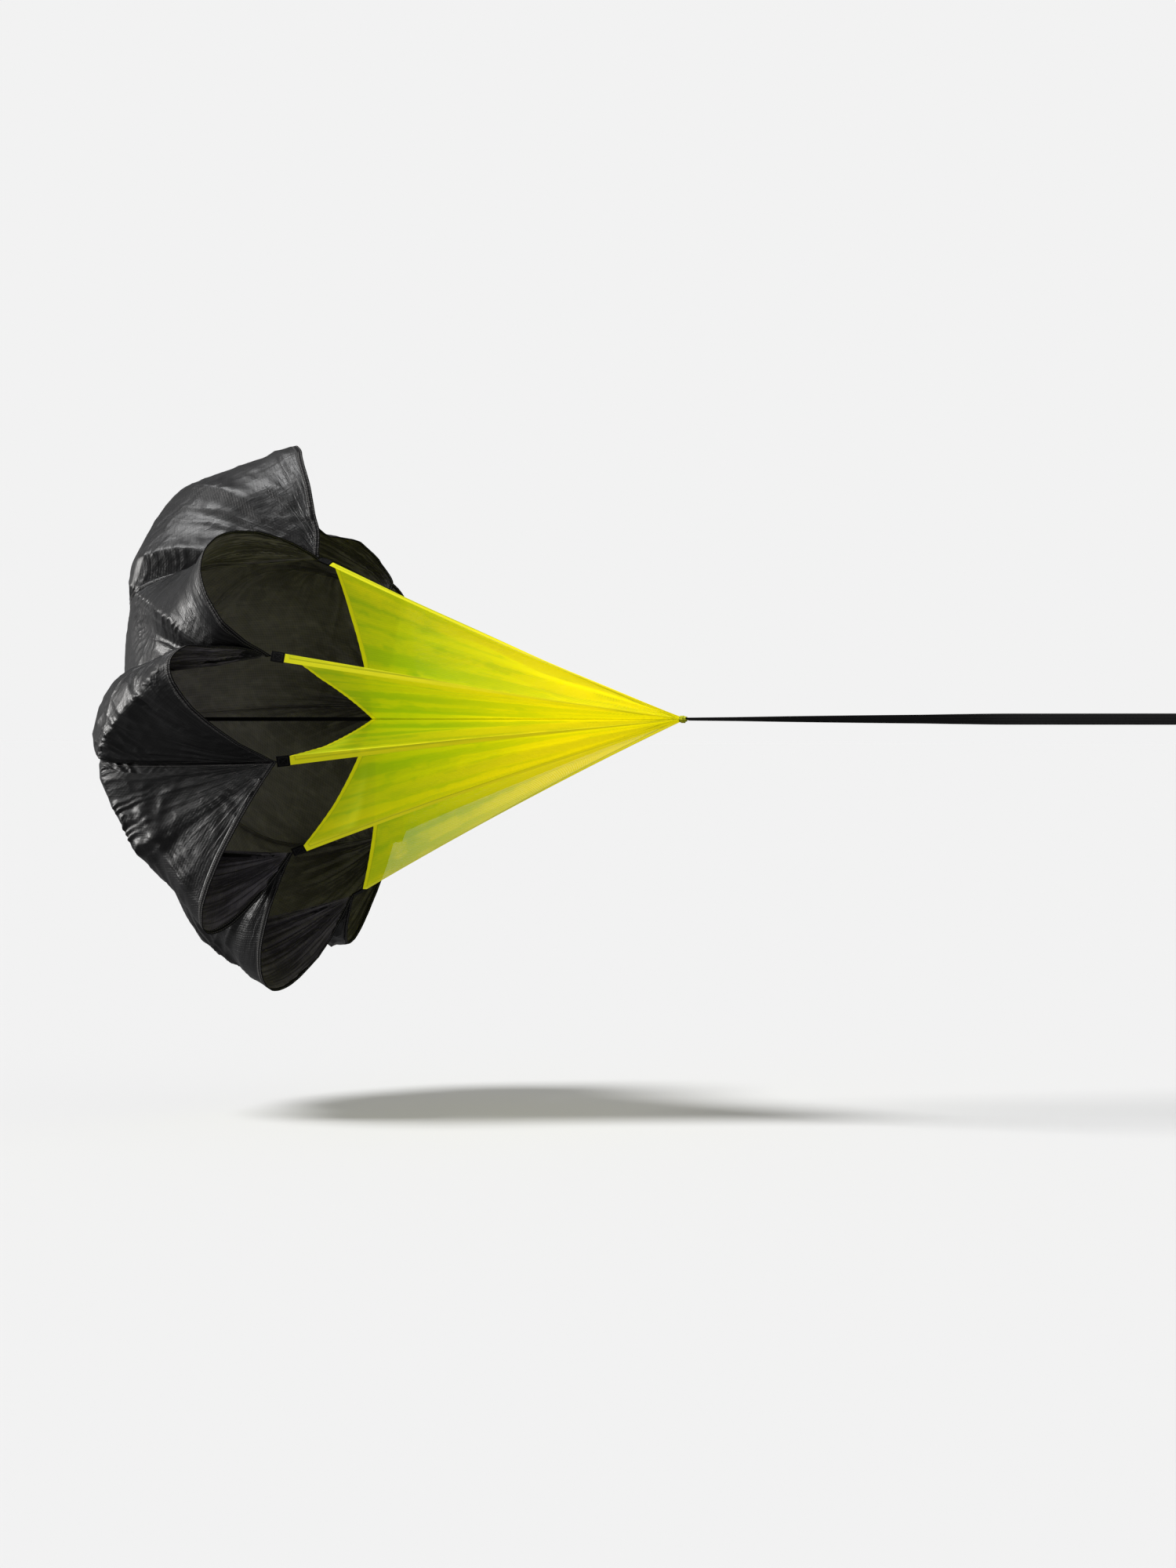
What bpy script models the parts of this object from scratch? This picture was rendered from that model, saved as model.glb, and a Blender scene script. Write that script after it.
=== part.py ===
"""Running parachute in flight: waist belt, snap hook, webbing tether, mesh fins and an eight-lobed canopy.

Metres, +Z up, +X the way the runner goes. The origin is the middle of the waist.
"""
import math

import bmesh
import bpy
import numpy as np
from mathutils import Matrix

# Driving sizes of the canopy and its mesh cone
lobe_radius = 0.500
attach_radius = 0.310
cone_length = 0.675
crown_depth = 1.125
belly_depth = 0.135
inner_point_depth = 0.636
crown_spread = 0.240
seam_spread = 0.225
cloth_thickness = 0.0015
mesh_thickness = 0.0010
seam_gap = 0.0004
touch_gap = 0.0003
loose_gap = 0.0008

# Places of the eight arms and of the eight lobes between them, the first arm at the top near side
arm_angles = (21.0, 69.0, 104.0, 140.0, 177.0, 226.0, 274.0, 323.0)
arm_reach_shares = (1.000, 1.005, 1.005, 1.005, 1.035, 0.990, 0.970, 0.930)
arm_depth_shares = (0.990, 1.000, 0.975, 1.005, 0.955, 0.995, 1.000, 0.980)
lobe_angles = (49.0, 77.5, 141.0, 168.0, 199.5, 250.0, 298.0, 354.5)
lobe_reach_shares = (0.94, 0.87, 0.97, 1.03, 0.89, 1.00, 0.97, 1.11)
lobe_depth_shares = (0.71, 0.74, 0.74, 0.71, 0.66, 0.69, 0.67, 0.73)
belly_reach_shares = (0.50, 0.73, 0.66, 0.85, 0.89, 0.82, 0.82, 0.93)
belly_depth_shares = (0.73, 0.68, 0.66, 1.16, 1.01, 1.00, 1.00, 0.24)
# Turns of the shoulder of each gore and of each seam, in degrees towards the next arm
belly_leans = (13.0, -1.5, 3.0, 9.0, -2.0, 0.0, 0.0, 4.0)
seam_leans = (15.0, 6.0, -0.5, -1.0, -0.5, 0.0, 0.0, 0.0)
shoulder_weight = 2.5
seam_reach_shares = (0.65, 0.63, 0.75, 0.65, 0.85, 0.78, 0.78, 0.84)
seam_depth_shares = (0.42, 1.20, 0.63, 1.25, 0.97, 1.00, 1.00, 0.86)
# The far half of the top lobe's edge falls in: the lobe, then the place, the width and the depth of the dip.
# The peak is how pointed that edge is
dip_lobe = 7
dip_shares = (0.35, 0.19, 0.66)
dip_peak = 1.3

# Grid of one gore: rows from the crown to the rim, columns from seam to seam
gore_columns = 14
gore_row_shares = (0.025, 0.07, 0.14, 0.22, 0.30, 0.38, 0.46, 0.54, 0.62, 0.70, 0.78, 0.86, 0.93, 1.0)
patch_row_shares = (0.004, 0.025, 0.07)
patch_thickness = 0.0012

# Corner tabs, mesh fins and their gathered tip
tab_length = 0.024
tab_width = 0.020
tab_thickness = 0.0026
tab_bevel = 0.0008
fin_corner_width = 0.017
fin_hem_shares = (0.0, 0.10, 0.25, 0.42, 0.58, 0.74, 0.88, 1.0)
fin_row_count = 8
fin_hem_sag = 0.024
fin_ridge_sag = 0.008
fin_axis_gap = 0.0026
fin_tip_spread = 0.0032
fin_fold = 0.005
fin_fold_waves = 2.0
tip_setback = 0.014
core_radius = 0.0022
binding_radius = 0.0068
binding_sides = 20
# The binding as seen from the side: shares of its radius and of its length, from the neck back
binding_profile_shares = ((0.66, 0.0), (1.0, 0.45), (0.9, 0.98))
tag_length = 0.013
tag_width = 0.008
tag_thickness = 0.0022
tag_bevel = 0.0007

# Straps
tether_width = 0.020
tether_thickness = 0.0018
tether_length = 1.030
tether_steps = 40
twist_start_share = 0.02
twist_end_share = 0.48
centre_line_width = 0.0075
centre_line_thickness = 0.0015
tether_loop_length = 0.060
tether_loop_nose_steps = 10

# Waist belt
waist_radius = 0.100
waist_straight = 0.070
pad_thickness = 0.0080
pad_height = 0.060
pad_end_gap = 0.052
pad_bevel = 0.0022
webbing_width = 0.038
webbing_thickness = 0.0020
keeper_width = 0.012
keeper_thickness = 0.0012
keeper_foot = 0.0060
keeper_margin = 0.0014
keeper_angles = (35.0, 145.0)
tail_keeper_y = 0.064
belt_arc_steps = 20

# Side-release buckle
buckle_length = 0.030
buckle_height = 0.046
buckle_depth = 0.0130
buckle_wall = 0.0024
buckle_bevel = 0.0012
buckle_bar_width = 0.0048
buckle_bar_clearance = 0.0006
female_bar_y = 0.042
male_bar_y = -0.0214
male_root_length = 0.0100
male_root_depth = 0.0090
prong_length = 0.0240
prong_width = 0.0050
prong_depth = 0.0060
prong_inset = 0.0064
# The outline of a prong from its root out: places along its length and across its width
prong_outline_shares = ((0.022, -0.5), (0.97, -0.44), (1.0, -0.28), (1.0, 0.2), (0.88, 1.08), (0.50, 1.16),
                        (0.467, 1.0), (0.467, 0.5), (0.022, 0.5))
guide_width = 0.0060
guide_length = 0.0200
window_start = 0.0106
window_length = 0.0134
strap_nose_steps = 10
bar_clear_reach = 0.0038
sewn_start_reach = 0.017
sewn_inner_reach = 0.016
sewn_end_reach = 0.030
tail_bend_reach = 0.020
tail_length = 0.062
tail_layers = 2

# Ring, its anchor and the snap hook
bar_radius = 0.0025
ring_half_height = 0.0195
ring_reach = 0.0270
ring_corner = 0.0040
ring_corner_steps = 4
ring_points = 17
anchor_height = 0.022
anchor_width = 0.046
anchor_thickness = 0.0020
anchor_clearance = 0.0004
hook_wire = 0.0030
hook_bow_radius = 0.0110
hook_side_length = 0.0370
hook_nose_length = 0.0020
gate_radius = 0.0026
gate_length = 0.0240
gate_thickness = 0.0034
gate_end_gap = 0.0008
gate_pin_radius = 0.0012
gate_pin_length = 0.0094
lug_length = 0.0100
lug_width = 0.0074
lug_front = 0.0040
hook_foot_sweep = math.radians(160.0)
lug_bevel = 0.0010
pin_sides = 12
barrel_radius = 0.0064
barrel_length = 0.0085
stem_radius = 0.0030
stem_clearance = 0.0004
stem_head_radius = 0.0046
stem_head_length = 0.0026
stem_room_length = 0.0060
eye_wire = 0.0022
eye_length = 0.0130
eye_half_height = 0.0135
eye_corner = 0.0032
round_sides = 24

# Shares and turns that the functions below use
full_turn = 2.0 * math.pi
half_share = 0.5
quarter_turn = math.radians(90.0)
both_sides = 2
cut_overrun = 0.010
weld_share = 0.01
merge_distance = 0.0001
tube_resolution = 2
sharp_edge = math.radians(40.0)
bevel_edge = math.radians(50.0)
inward_wall = -1.0
outward_wall = 1.0
arm_count = len(arm_angles)
part_collection = bpy.data.collections.new("speed_parachute")
cutter_collection = bpy.data.collections.new("cutters")
materials = {}


def clear_scene():
    for item in list(bpy.data.objects):
        bpy.data.objects.remove(item, do_unlink=True)
    bpy.context.scene.collection.children.link(part_collection)
    bpy.context.scene.collection.children.link(cutter_collection)


def material(name, colour, roughness, metallic=0.0):
    if name not in materials:
        made = bpy.data.materials.new(name)
        made.use_nodes = True
        shader = made.node_tree.nodes["Principled BSDF"]
        shader.inputs["Base Color"].default_value = (*colour, 1.0)
        shader.inputs["Roughness"].default_value = roughness
        shader.inputs["Metallic"].default_value = metallic
        materials[name] = made
    return materials[name]


def canopy_nylon():
    return material("canopy_nylon", (0.018, 0.018, 0.020), 0.38)


def mesh_fabric():
    return material("yellow_mesh", (0.80, 0.78, 0.02), 0.60)


def black_webbing():
    return material("black_webbing", (0.012, 0.012, 0.013), 0.70)


def black_plastic():
    return material("black_plastic", (0.020, 0.020, 0.022), 0.42)


def steel():
    return material("nickel_steel", (0.62, 0.62, 0.60), 0.28, 1.0)


def pad_fabric():
    return material("pad_fabric", (0.022, 0.022, 0.024), 0.85)


def link(item, finish):
    if finish is None:
        cutter_collection.objects.link(item)
        item.hide_render = True
        item.display_type = "WIRE"
    else:
        part_collection.objects.link(item)
        item.data.materials.clear()
        item.data.materials.append(finish)
    return item


def mesh_object(name, vertices, faces, finish, smooth=True):
    """A mesh object from computed points, with its faces turned outwards where it is closed."""
    mesh = bpy.data.meshes.new(name)
    mesh.from_pydata([tuple(p) for p in vertices], [], faces)
    mesh.update()
    if smooth:
        mesh.shade_smooth()
    return link(bpy.data.objects.new(name, mesh), finish)


def take_primitive(name, finish):
    """Moves the primitive that Blender has just added into this model's own collection."""
    item = bpy.context.active_object
    item.name = name
    item.data.name = name
    for holder in list(item.users_collection):
        holder.objects.unlink(item)
    return link(item, finish)


def apply_scale(item):
    item.data.transform(item.matrix_basis.to_3x3().to_4x4())
    item.scale = (1.0, 1.0, 1.0)
    item.rotation_euler = (0.0, 0.0, 0.0)


def box(name, size, place, finish, bevel=0.0, segments=2):
    bpy.ops.mesh.primitive_cube_add(size=1.0, location=place)
    item = take_primitive(name, finish)
    item.scale = size
    apply_scale(item)
    if bevel > 0.0:
        rounding = item.modifiers.new("rounded_edges", "BEVEL")
        rounding.width = bevel
        rounding.segments = segments
    return item


def cylinder(name, radius, depth, place, axis, finish, sides=round_sides):
    turns = {"X": (0.0, quarter_turn, 0.0), "Y": (quarter_turn, 0.0, 0.0), "Z": (0.0, 0.0, 0.0)}
    bpy.ops.mesh.primitive_cylinder_add(vertices=sides, radius=radius, depth=depth, location=place,
                                        rotation=turns[axis])
    item = take_primitive(name, finish)
    apply_scale(item)
    item.data.shade_smooth()
    item.data.set_sharp_from_angle(angle=sharp_edge)
    return item


def boolean(item, other, operation):
    change = item.modifiers.new(operation.lower(), "BOOLEAN")
    change.operation = operation
    change.solver = "EXACT"
    change.object = other
    return item


def tube(name, points, radius, finish, closed=False):
    """A round wire along computed points, with filled ends unless it is closed."""
    curve = bpy.data.curves.new(name, "CURVE")
    curve.dimensions = "3D"
    curve.bevel_depth = radius
    curve.bevel_resolution = tube_resolution
    curve.use_fill_caps = not closed
    spline = curve.splines.new("POLY")
    spline.points.add(len(points) - 1)
    for place, point in zip(spline.points, points):
        place.co = (*point, 1.0)
    spline.use_cyclic_u = closed
    return link(bpy.data.objects.new(name, curve), finish)


def tube_mesh(name, points, radius, finish, closed=False):
    """The same wire as a mesh with welded caps, so that it can be joined and cut."""
    wire = tube(name + "_wire", points, radius, None, closed)
    bpy.context.view_layer.update()
    solid = bpy.data.meshes.new_from_object(wire.evaluated_get(bpy.context.evaluated_depsgraph_get()))
    bpy.data.objects.remove(wire, do_unlink=True)
    cage = bmesh.new()
    cage.from_mesh(solid)
    bmesh.ops.remove_doubles(cage, verts=cage.verts, dist=radius * weld_share)
    bmesh.ops.recalc_face_normals(cage, faces=cage.faces)
    cage.to_mesh(solid)
    cage.free()
    solid.shade_smooth()
    return link(bpy.data.objects.new(name, solid), finish)


def ribbon(name, points, width, thickness, finish, closed=False, bevel=0.0, offset=0.0):
    """A strap standing on edge: a flat path on the ground, extruded up and down, then given its wall."""
    curve = bpy.data.curves.new(name, "CURVE")
    curve.dimensions = "2D"
    curve.fill_mode = "NONE"
    curve.extrude = width * half_share
    spline = curve.splines.new("POLY")
    spline.points.add(len(points) - 1)
    for place, point in zip(spline.points, points):
        place.co = (point[0], point[1], 0.0, 1.0)
    spline.use_cyclic_u = closed
    item = link(bpy.data.objects.new(name, curve), finish)
    wall = item.modifiers.new("wall", "SOLIDIFY")
    wall.thickness = thickness
    wall.offset = offset
    wall.use_even_offset = True
    if bevel > 0.0:
        rounding = item.modifiers.new("rounded_edges", "BEVEL")
        rounding.width = bevel
        rounding.segments = 2
        rounding.angle_limit = bevel_edge
    return item


def outline(name, loops, depth, finish, rotation=(0.0, 0.0, 0.0), place=(0.0, 0.0, 0.0)):
    """A flat outline, with any holes, extruded to a plate."""
    curve = bpy.data.curves.new(name, "CURVE")
    curve.dimensions = "2D"
    curve.fill_mode = "BOTH"
    curve.extrude = depth * half_share
    for loop in loops:
        spline = curve.splines.new("POLY")
        spline.points.add(len(loop) - 1)
        for spot, point in zip(spline.points, loop):
            spot.co = (point[0], point[1], 0.0, 1.0)
        spline.use_cyclic_u = True
    item = link(bpy.data.objects.new(name, curve), finish)
    item.rotation_euler = rotation
    item.location = place
    return item


def circle_points(radius, count, centre=(0.0, 0.0), start=0.0, sweep=full_turn, closed=True):
    steps = count if closed else count - 1
    angles = [start + sweep * i / steps for i in range(count)]
    return [(centre[0] + radius * math.cos(a), centre[1] + radius * math.sin(a)) for a in angles]


# Places along the pull line, from the waist back to the crown
pad_outer = waist_radius + pad_thickness
webbing_inner = pad_outer + touch_gap
webbing_outer = webbing_inner + webbing_thickness
anchor_inner = webbing_outer + touch_gap
anchor_outer = anchor_inner + anchor_thickness
sleeve_bore = bar_radius + anchor_clearance
sleeve_outer = sleeve_bore + anchor_thickness
ring_bar_x = -(anchor_outer + sleeve_bore)
ring_nose_x = ring_bar_x - ring_reach
hook_centre_x = ring_nose_x + bar_radius + touch_gap - (hook_bow_radius - hook_wire)
hook_foot_x = hook_centre_x - hook_side_length
foot_centre_x = hook_foot_x + hook_bow_radius
gate_pin_x = hook_centre_x - hook_nose_length - gate_length - gate_end_gap
lug_x = gate_pin_x + lug_front - lug_length * half_share
slot_x = gate_pin_x - gate_radius - stem_clearance + lug_length * half_share
barrel_front_x = hook_foot_x + hook_wire * half_share
barrel_back_x = barrel_front_x - barrel_length
eye_front_x = barrel_back_x - touch_gap - eye_wire
eye_bar_x = eye_front_x - eye_length
tether_front_x = eye_bar_x - eye_wire - touch_gap - tether_thickness - touch_gap
tip_x = tether_front_x - tether_length
crown_x = tip_x - crown_depth
centre_line_seat = cloth_thickness + loose_gap + patch_thickness + touch_gap
# The webbing's turn round a buckle bar, and the buckle's middle plane in front of the belt
strap_nose_radius = buckle_bar_width * half_share + buckle_bar_clearance + webbing_thickness * half_share
buckle_x = webbing_outer + touch_gap + webbing_thickness * half_share + strap_nose_radius


def polar(angle, radius, depth):
    """A point at an angle from the top towards the near side, a radius, and a depth behind the tip."""
    turn = math.radians(angle)
    return np.array([tip_x - depth, -radius * math.sin(turn), radius * math.cos(turn)])


def sideways(angle):
    """The direction round the pull line at an angle, towards the next arm."""
    turn = math.radians(angle)
    return np.array([0.0, -math.cos(turn), -math.sin(turn)])


def shoulder_bend(points, share):
    """A cubic curve from the first of four points to the last, drawn most strongly to the third."""
    s = np.asarray(share, float)[..., None]
    pulls = ((1 - s) ** 3, 3 * s * (1 - s) ** 2, 3 * s * s * (1 - s) * shoulder_weight, s ** 3)
    return sum(pull * point for pull, point in zip(pulls, points)) / sum(pulls)


def arm_point(k):
    return polar(arm_angles[k], attach_radius * arm_reach_shares[k], cone_length * arm_depth_shares[k])


def arm_direction(k):
    """Unit vector from the canopy towards the tip along the arm's ridge."""
    way = polar(0.0, 0.0, 0.0) - arm_point(k)
    return way / np.linalg.norm(way)


def canopy_corner(k):
    return arm_point(k) - arm_direction(k) * (tab_length + touch_gap + loose_gap)


def seam_curve(k, share):
    """Where two gores meet, from the crown out over the shoulder and in again to the arm."""
    angle = arm_angles[k]
    shoulder = polar(angle + seam_leans[k], lobe_radius * seam_reach_shares[k],
                     crown_depth - belly_depth * seam_depth_shares[k])
    return shoulder_bend((polar(angle, 0.0, crown_depth), polar(angle, seam_spread, crown_depth), shoulder,
                          canopy_corner(k)), share)


def middle_angle(k):
    following = arm_angles[(k + 1) % arm_count] + (360.0 if k == arm_count - 1 else 0.0)
    return (arm_angles[k] + following) * half_share


def lobe_curve(k, share):
    """The middle of a gore, from the crown out to the free edge of its lobe."""
    middle = middle_angle(k)
    belly = polar(middle + belly_leans[k], lobe_radius * belly_reach_shares[k],
                  crown_depth - belly_depth * belly_depth_shares[k])
    rim = polar(lobe_angles[k], lobe_radius * lobe_reach_shares[k], crown_depth * lobe_depth_shares[k])
    crown = (polar(middle, 0.0, crown_depth), polar(middle, crown_spread, crown_depth))
    return shoulder_bend((*crown, belly, rim), share)


def gore_surface(k, across, along, gap=seam_gap):
    """Half an ellipse from seam to seam, raised to the gore's middle curve at each step from crown to rim."""
    following = (k + 1) % arm_count
    first = seam_curve(k, along) + sideways(arm_angles[k]) * gap * half_share
    second = seam_curve(following, along) - sideways(arm_angles[following]) * gap * half_share
    rise = np.maximum(np.sin(math.pi * across), 0.0)
    if k == dip_lobe:
        place, width, depth = dip_shares
        rise = rise ** (1 + (dip_peak - 1) * along ** 2)
        rise = rise * (1 - depth * along ** 2 * np.exp(-((across - place) / width) ** 2))
    shift = ((1 - np.cos(math.pi * across)) * half_share)[..., None]
    lift = lobe_curve(k, along) - (first + second) * half_share
    return first * (1 - shift) + second * shift + rise[..., None] * lift


def grid_faces(rows, columns, closed=False):
    faces = []
    for i in range(rows - 1):
        for j in range(columns if closed else columns - 1):
            nxt = (j + 1) % columns
            faces.append((i * columns + j, i * columns + nxt, (i + 1) * columns + nxt, (i + 1) * columns + j))
    return faces


def solidify(item, thickness, offset):
    wall = item.modifiers.new("wall", "SOLIDIFY")
    wall.thickness = thickness
    wall.offset = offset
    return item


def make_gores():
    across = np.linspace(0.0, 1.0, gore_columns + 1)
    rows = np.array(gore_row_shares)
    grid_along, grid_across = np.meshgrid(rows, across, indexing="ij")
    for k in range(arm_count):
        points = gore_surface(k, grid_across, grid_along).reshape(-1, 3)
        faces = grid_faces(len(rows), len(across))
        gore = mesh_object("canopy_gore_%d" % (k + 1), points, faces, canopy_nylon())
        solidify(gore, cloth_thickness, inward_wall)


def make_crown_patches():
    """Round patches on both faces of the crown, following the cloth under them."""
    rows = np.array(patch_row_shares)
    across = np.linspace(0.0, 1.0, gore_columns + 1)[:-1:2]
    inner_seat = cloth_thickness + loose_gap
    for name, offset in (("crown_patch_outer", -touch_gap), ("crown_patch_inner", inner_seat)):
        rings = []
        for row in rows:
            ring = [gore_surface(k, across, np.full(len(across), row), 0.0) for k in range(arm_count)]
            rings.append(np.concatenate(ring))
        points = np.concatenate(rings) + np.array([offset, 0.0, 0.0])
        count = len(across) * arm_count
        faces = grid_faces(len(rows), count, closed=True)
        faces.append(tuple(reversed(range(count))))
        patch = mesh_object(name, points, faces, canopy_nylon())
        solidify(patch, patch_thickness, outward_wall if offset < 0 else inward_wall)


def make_corner_tabs():
    for k in range(arm_count):
        way = arm_direction(k)
        side = sideways(arm_angles[k])
        up = np.cross(way, side)
        centre = arm_point(k) - way * (tab_length * half_share + touch_gap)
        tab = box("corner_tab_%d" % (k + 1), (tab_length, tab_width, tab_thickness), (0.0, 0.0, 0.0),
                  black_webbing(), tab_bevel, 2)
        turn = np.array([way, side, up]).T
        tab.matrix_world = matrix_from(turn, centre)


def matrix_from(turn, place):
    rows = [[float(turn[i][0]), float(turn[i][1]), float(turn[i][2]), float(place[i])] for i in range(3)]
    return Matrix(rows + [[0.0, 0.0, 0.0, 1.0]])


def fin_surface(k, hem, run):
    """Straight lines from the hem between arm and inner point to the gathered tip, with slack folds."""
    angle = arm_angles[k]
    outward = polar(angle, 1.0, 0.0) - polar(angle, 0.0, 0.0)
    side = sideways(angle)
    corner = arm_point(k) + arm_direction(k) * touch_gap
    inner = polar(angle, fin_axis_gap, inner_point_depth)
    width = fin_corner_width * half_share
    strip = fin_hem_shares[1]
    down = np.clip((hem - strip) / (1.0 - strip), 0.0, 1.0)[..., None]
    turn = np.clip(1.0 - 2.0 * hem / strip, -1.0, 1.0) * np.clip(1.0 - down[..., 0] * 3.0, 0.0, 1.0)
    start = corner * (1 - down) + inner * down + side * (turn * width)[..., None]
    start = start + np.array([1.0, 0.0, 0.0]) * (4 * down * (1 - down)) * fin_hem_sag
    end = polar(angle, fin_axis_gap, tip_setback) + outward * fin_tip_spread * (1 - hem)[..., None]
    run = run[..., None]
    sag = -outward * (4 * run * (1 - run)) * fin_ridge_sag * (1 - hem)[..., None]
    fold = np.sin(full_turn * fin_fold_waves * hem) * np.sin(math.pi * hem)
    fold = fold[..., None] * np.sin(math.pi * run) * fin_fold
    return start * (1 - run) + end * run + sag + side * fold


def make_fins():
    hem = np.array(fin_hem_shares)
    run = np.linspace(0.0, 1.0, fin_row_count + 1)
    grid_run, grid_hem = np.meshgrid(run, hem, indexing="ij")
    for k in range(arm_count):
        points = fin_surface(k, grid_hem, grid_run).reshape(-1, 3)
        fin = mesh_object("mesh_fin_%d" % (k + 1), points, grid_faces(len(run), len(hem)), mesh_fabric())
        solidify(fin, mesh_thickness, 0.0)


def make_tip():
    """The seam cord between the fins, the binding that gathers them, and the loose tag under it."""
    start = tip_x - inner_point_depth
    end = tip_x - tip_setback - touch_gap
    steps = tether_steps // 4
    line = [(start + (end - start) * i / steps, 0.0, 0.0) for i in range(steps + 1)]
    tube("fin_seam_cord", line, core_radius, mesh_fabric())
    profile = [(binding_radius * r, tip_setback * z) for r, z in binding_profile_shares]
    profile = [(0.0, profile[0][1])] + profile + [(0.0, profile[-1][1])]
    mesh = bpy.data.meshes.new("tip_binding")
    places = [(r, 0.0, -z) for r, z in profile]
    mesh.from_pydata(places, [(i, i + 1) for i in range(len(places) - 1)], [])
    binding = link(bpy.data.objects.new("tip_binding", mesh), mesh_fabric())
    turn = binding.modifiers.new("turned", "SCREW")
    turn.steps = binding_sides
    turn.render_steps = binding_sides
    turn.use_merge_vertices = True
    turn.merge_threshold = merge_distance
    turn.use_smooth_shade = True
    binding.rotation_euler = (0.0, quarter_turn, 0.0)
    binding.location = (tip_x, 0.0, 0.0)
    box("tip_tag", (tag_width, tag_thickness, tag_length),
        (tip_x - tip_setback * half_share, 0.0, -(binding_radius + touch_gap + tag_length * half_share)),
        mesh_fabric(), tag_bevel)


def flat_strap(name, start_x, end_x, width, thickness, finish, steps, turn_at):
    """A webbing strap along the pull line whose cross-section turns as it goes."""
    shares = np.linspace(0.0, 1.0, steps + 1)
    curve = bpy.data.curves.new(name, "CURVE")
    curve.dimensions = "3D"
    curve.twist_mode = "Z_UP"
    curve.extrude = width * half_share
    spline = curve.splines.new("POLY")
    spline.points.add(steps)
    for spot, share in zip(spline.points, shares):
        spot.co = (start_x + (end_x - start_x) * share, 0.0, 0.0, 1.0)
        spot.tilt = turn_at(share)
    item = link(bpy.data.objects.new(name, curve), finish)
    return solidify(item, thickness, 0.0)


def quarter_twist(share):
    """Flat at the tip, standing on edge from about the middle of the strap on."""
    step = min(max((share - twist_start_share) / (twist_end_share - twist_start_share), 0.0), 1.0)
    return quarter_turn * (1.0 - step * step * (3.0 - 2.0 * step))


def make_straps():
    flat_strap("tether_strap", tip_x + touch_gap, tether_front_x, tether_width, tether_thickness,
               black_webbing(), tether_steps, quarter_twist)
    flat_strap("centre_line", crown_x + centre_line_seat, tip_x - inner_point_depth - touch_gap,
               centre_line_width, centre_line_thickness, black_webbing(), 2, lambda share: 0.0)
    leg = tether_thickness + touch_gap
    nose_radius = eye_wire + touch_gap + tether_thickness * half_share
    nose = circle_points(nose_radius, tether_loop_nose_steps + 1, (eye_bar_x, 0.0), -quarter_turn, math.pi,
                         closed=False)
    back = tether_front_x - tether_loop_length
    throat = tether_front_x - nose_radius * both_sides
    path = [(back, -leg), (throat, -leg)] + nose + [(throat, leg), (back, leg)]
    ribbon("tether_loop", path, tether_width, tether_thickness, black_webbing())


def belt_path(radius, start, end):
    """Round the waist from the front straight, behind the back, and to the front again."""
    right = circle_points(radius, belt_arc_steps + 1, (0.0, waist_straight), 0.0, math.pi, closed=False)
    left = circle_points(radius, belt_arc_steps + 1, (0.0, -waist_straight), math.pi, math.pi, closed=False)
    return start + right + left + end


def make_belt():
    """The pad, and the webbing that turns round a bar of each buckle half."""
    pad_middle = waist_radius + pad_thickness * half_share
    ribbon("belt_pad", belt_path(pad_middle, [(pad_middle, pad_end_gap)], [(pad_middle, -pad_end_gap)]),
           pad_height, pad_thickness, pad_fabric(), bevel=pad_bevel)
    middle = webbing_inner + webbing_thickness * half_share
    doubled = middle + webbing_thickness + touch_gap
    sewn_nose = circle_points(strap_nose_radius, strap_nose_steps + 1, (buckle_x, female_bar_y),
                              0.0, -math.pi, closed=False)
    start = [(doubled, female_bar_y + sewn_end_reach), (doubled, female_bar_y + sewn_start_reach)]
    start += [(buckle_x + strap_nose_radius, female_bar_y + bar_clear_reach)] + sewn_nose
    start += [(buckle_x - strap_nose_radius, female_bar_y + bar_clear_reach)]
    start += [(middle, female_bar_y + sewn_inner_reach)]
    tail_nose = circle_points(strap_nose_radius, strap_nose_steps + 1, (buckle_x, male_bar_y),
                              math.pi, -math.pi, closed=False)
    end = [(middle, male_bar_y - sewn_inner_reach)]
    end += [(buckle_x - strap_nose_radius, male_bar_y - bar_clear_reach)]
    end += tail_nose + [(buckle_x + strap_nose_radius, male_bar_y - bar_clear_reach)]
    end += [(doubled + webbing_thickness * half_share, male_bar_y - tail_bend_reach),
            (doubled + webbing_thickness * half_share, male_bar_y - tail_length)]
    ribbon("belt_webbing", belt_path(middle, start, end), webbing_width, webbing_thickness, black_webbing())


def bridge_points(rise, span):
    """The side view of a webbing loop: sewn flat above and below, standing off in the middle."""
    foot = keeper_thickness
    top = span * half_share
    outer_rise = rise + keeper_thickness
    end = top + keeper_thickness + keeper_foot
    outer = [(foot, end), (foot, top + keeper_thickness), (outer_rise, top + keeper_thickness * half_share)]
    inner = [(rise, top - keeper_thickness * half_share), (0.0, top), (0.0, end)]
    lower_outer = [(x, -z) for x, z in reversed(outer)]
    lower_inner = [(x, -z) for x, z in reversed(inner)]
    return outer + lower_outer + lower_inner + inner


def make_keepers():
    """Four loops that hold the webbing on the pad, and one over the loose tail."""
    base = pad_outer + touch_gap
    span = webbing_width + keeper_margin
    places = [(side, angle) for side in (1.0, -1.0) for angle in keeper_angles]
    for number, (side, angle) in enumerate(places, start=1):
        turn = math.radians(angle) * side
        spot = (base * math.cos(turn), waist_straight * side + base * math.sin(turn), 0.0)
        loop = bridge_points(webbing_thickness + keeper_margin, span)
        outline("pad_keeper_%d" % number, [loop], keeper_width, black_webbing(),
                (quarter_turn, 0.0, turn), spot)
    tail_rise = (webbing_thickness + keeper_margin) * tail_layers
    outline("tail_keeper", [bridge_points(tail_rise, span)], keeper_width, black_webbing(),
            (quarter_turn, 0.0, 0.0), (base, -tail_keeper_y, 0.0))


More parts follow.
